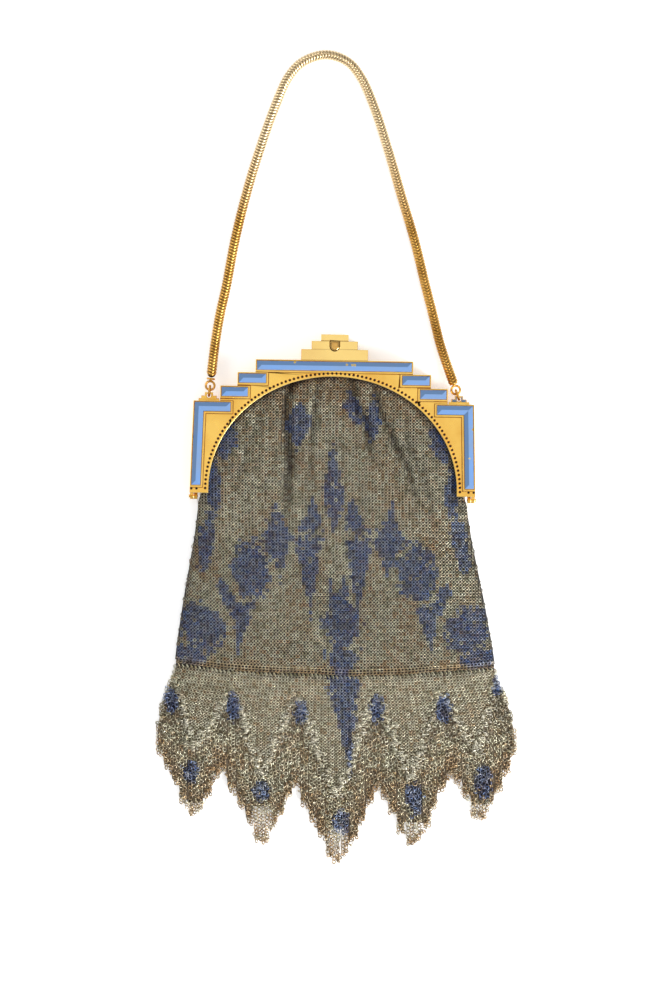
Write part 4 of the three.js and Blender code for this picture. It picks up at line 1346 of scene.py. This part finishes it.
fringe_skin = (BLUE_ON_FRINGE, skirt_brown, skirt_dim)
skirts = {}
for front, label in ((True, "front"), (False, "back")):
    # Each skirt's sheet is painted shade, seen through the gaps between its rings.
    skirt_work = sheet_grid(*SKIRT_CELLS, skirt_sheet_place(front))
    mesh = as_mesh(f"fringe_{label}_shade_sheet", skirt_work, True)
    mark_points(mesh, fringe_skin, skirt_pale)
    skirts[label] = keep(mesh.name, mesh, shade_sheet_finish, stands_for=["fringe_" + label])
    walled(skirts[label])


def tongue_grid(pitch, staggered):
    """Centres of the rings in columns down the tongues, and the number of each one's column"""
    wide, tall = pitch
    half_count = int(SKIRT_HALF[0] / wide)
    column, step = every_pair(np.arange(-half_count, half_count + 1), np.arange(int(TONGUE_REACH / tall)))
    y = -BAG_LENGTH - 1.6 - (step + (0.5 * (column % 2) if staggered else 0)) * tall
    x = column / half_count * (skirt_half(y) - 0.7) + lean_at(y)
    if not staggered:
        y = y - waist_sag(x) - WAIST_DROP
    inside = y > tongue_edge(x - lean_at(y)) + 0.6
    return (x[inside], y[inside]), column[inside]


strand_x, strand_y, strand_even = [], [], []
luck = np.random.default_rng(23)
for index in range(STRAND_COUNT):
    middle = -SKIRT_HALF_WIDTH + (index + 0.5) * STRAND_PITCH
    end = strand_end(middle, index)
    sway = luck.normal(0, STRAND_SWAY, 2)[0]
    for offset, rise in ((-COLUMN_OFFSET, 0), (COLUMN_OFFSET, 0.5)):
        top = tongue_edge(middle + offset) + 1
        levels = np.arange(end + 0.9 + rise * LINK_PITCH, top, LINK_PITCH)
        free = ramp(levels, end + 20, end)
        strand_x.append(middle + offset + sway * free + luck.normal(0, LINK_WILD[0], len(levels)))
        strand_y.append(levels + luck.normal(0, LINK_WILD[1], len(levels)))
        strand_even.append(np.arange(len(levels)))
strand_x, strand_y, strand_even = (np.concatenate(part) for part in (strand_x, strand_y, strand_even))
strand_x = strand_x + lean_at(strand_y)
strand_x, strand_y, strand_even = in_skirt(strand_x, strand_y, STRAND_MARGIN, strand_even)

tangle_x = luck.uniform(-SKIRT_HALF_WIDTH + 1, SKIRT_HALF_WIDTH - 1, TANGLED)
tangle_low, tangle_high = sheet_end(tangle_x), tongue_edge(tangle_x)
tangle_y = tangle_low + luck.uniform(0, 1, TANGLED) * (tangle_high - tangle_low)
end_index = np.repeat(np.arange(STRAND_COUNT), ENDS_LOOSE)
end_x = -SKIRT_HALF_WIDTH + (end_index + 0.5) * STRAND_PITCH + luck.uniform(-1.2, 1.2, len(end_index))
end_y = strand_end(end_x, end_index) + luck.uniform(0.9, 3.8, len(end_index))
tangle_x, tangle_y = np.concatenate([tangle_x, end_x]), np.concatenate([tangle_y, end_y])
tangle_x, tangle_y = in_skirt(tangle_x + lean_at(tangle_y), tangle_y, TANGLE_MARGIN)

ruffle_x, ruffle_y = [], []
for (x0, y0), (x1, y1) in zip(zip(TONGUE_X, TONGUE_Y), zip(TONGUE_X[1:], TONGUE_Y[1:])):
    count = int(RUFFLE_DENSITY * math.hypot(x1 - x0, y1 - y0))
    along_edge = luck.uniform(0, 1, count)
    off_edge = luck.normal(0, RUFFLE_SPREAD, count)
    normal = Vector((y1 - y0, x0 - x1)).normalized()
    ruffle_x.append(x0 + (x1 - x0) * along_edge + off_edge * normal.x)
    ruffle_y.append(y0 + (y1 - y0) * along_edge + off_edge * normal.y)
ruffle_y = np.concatenate(ruffle_y)
ruffle_x = np.concatenate(ruffle_x) + lean_at(ruffle_y)
ruffle_x, ruffle_y = in_skirt(ruffle_x, ruffle_y, RUFFLE_MARGIN)
ruffle_pale = np.clip(ramp(ruffle_y, -70, -80) * luck.uniform(0.3, 1.1, len(ruffle_x)), 0, 1)

for face, label, height in ((1, "front", skirt_front), (-1, "back", skirt_back)):
    node = "fringe_" + label
    ring = fine_ring if face > 0 else back_ring
    points, column = tongue_grid(FINE_COLUMNS, False) if face > 0 else tongue_grid(COARSE_COLUMNS, True)
    strand_ring = open_ring if face > 0 else back_ring
    fields = {
        # ring, places, number along, tilt in degrees, its axis, wildness, paleness, depth
        "tongue_rings": (ring, points, column, 9, "y", 0.08, 0.0, RING_SINK),
        "strand_rings": (strand_ring, (strand_x, strand_y), strand_even, 24, "y", 0.35, 0.0, RING_SINK),
    }
    if face > 0:
        ruffled = luck.integers(0, 2, len(ruffle_x))
        fields["ruffle_rings"] = (open_ring, (ruffle_x, ruffle_y), ruffled, 52, "x", 0.4, ruffle_pale, -0.15)
        tangled = luck.integers(0, 2, len(tangle_x))
        fields["tangle_rings"] = (open_ring, (tangle_x, tangle_y), tangled, 40, "x", 0.5, 0.0, 0.1)
    for what, (ring, points, even, tilt, *others) in fields.items():
        name = f"{node}_{what}"
        field = ring_field(name, ring, points, even, height, face, fringe_skin, math.radians(tilt), *others)
        keep(name, field, ring_metal, stands_for=[node])
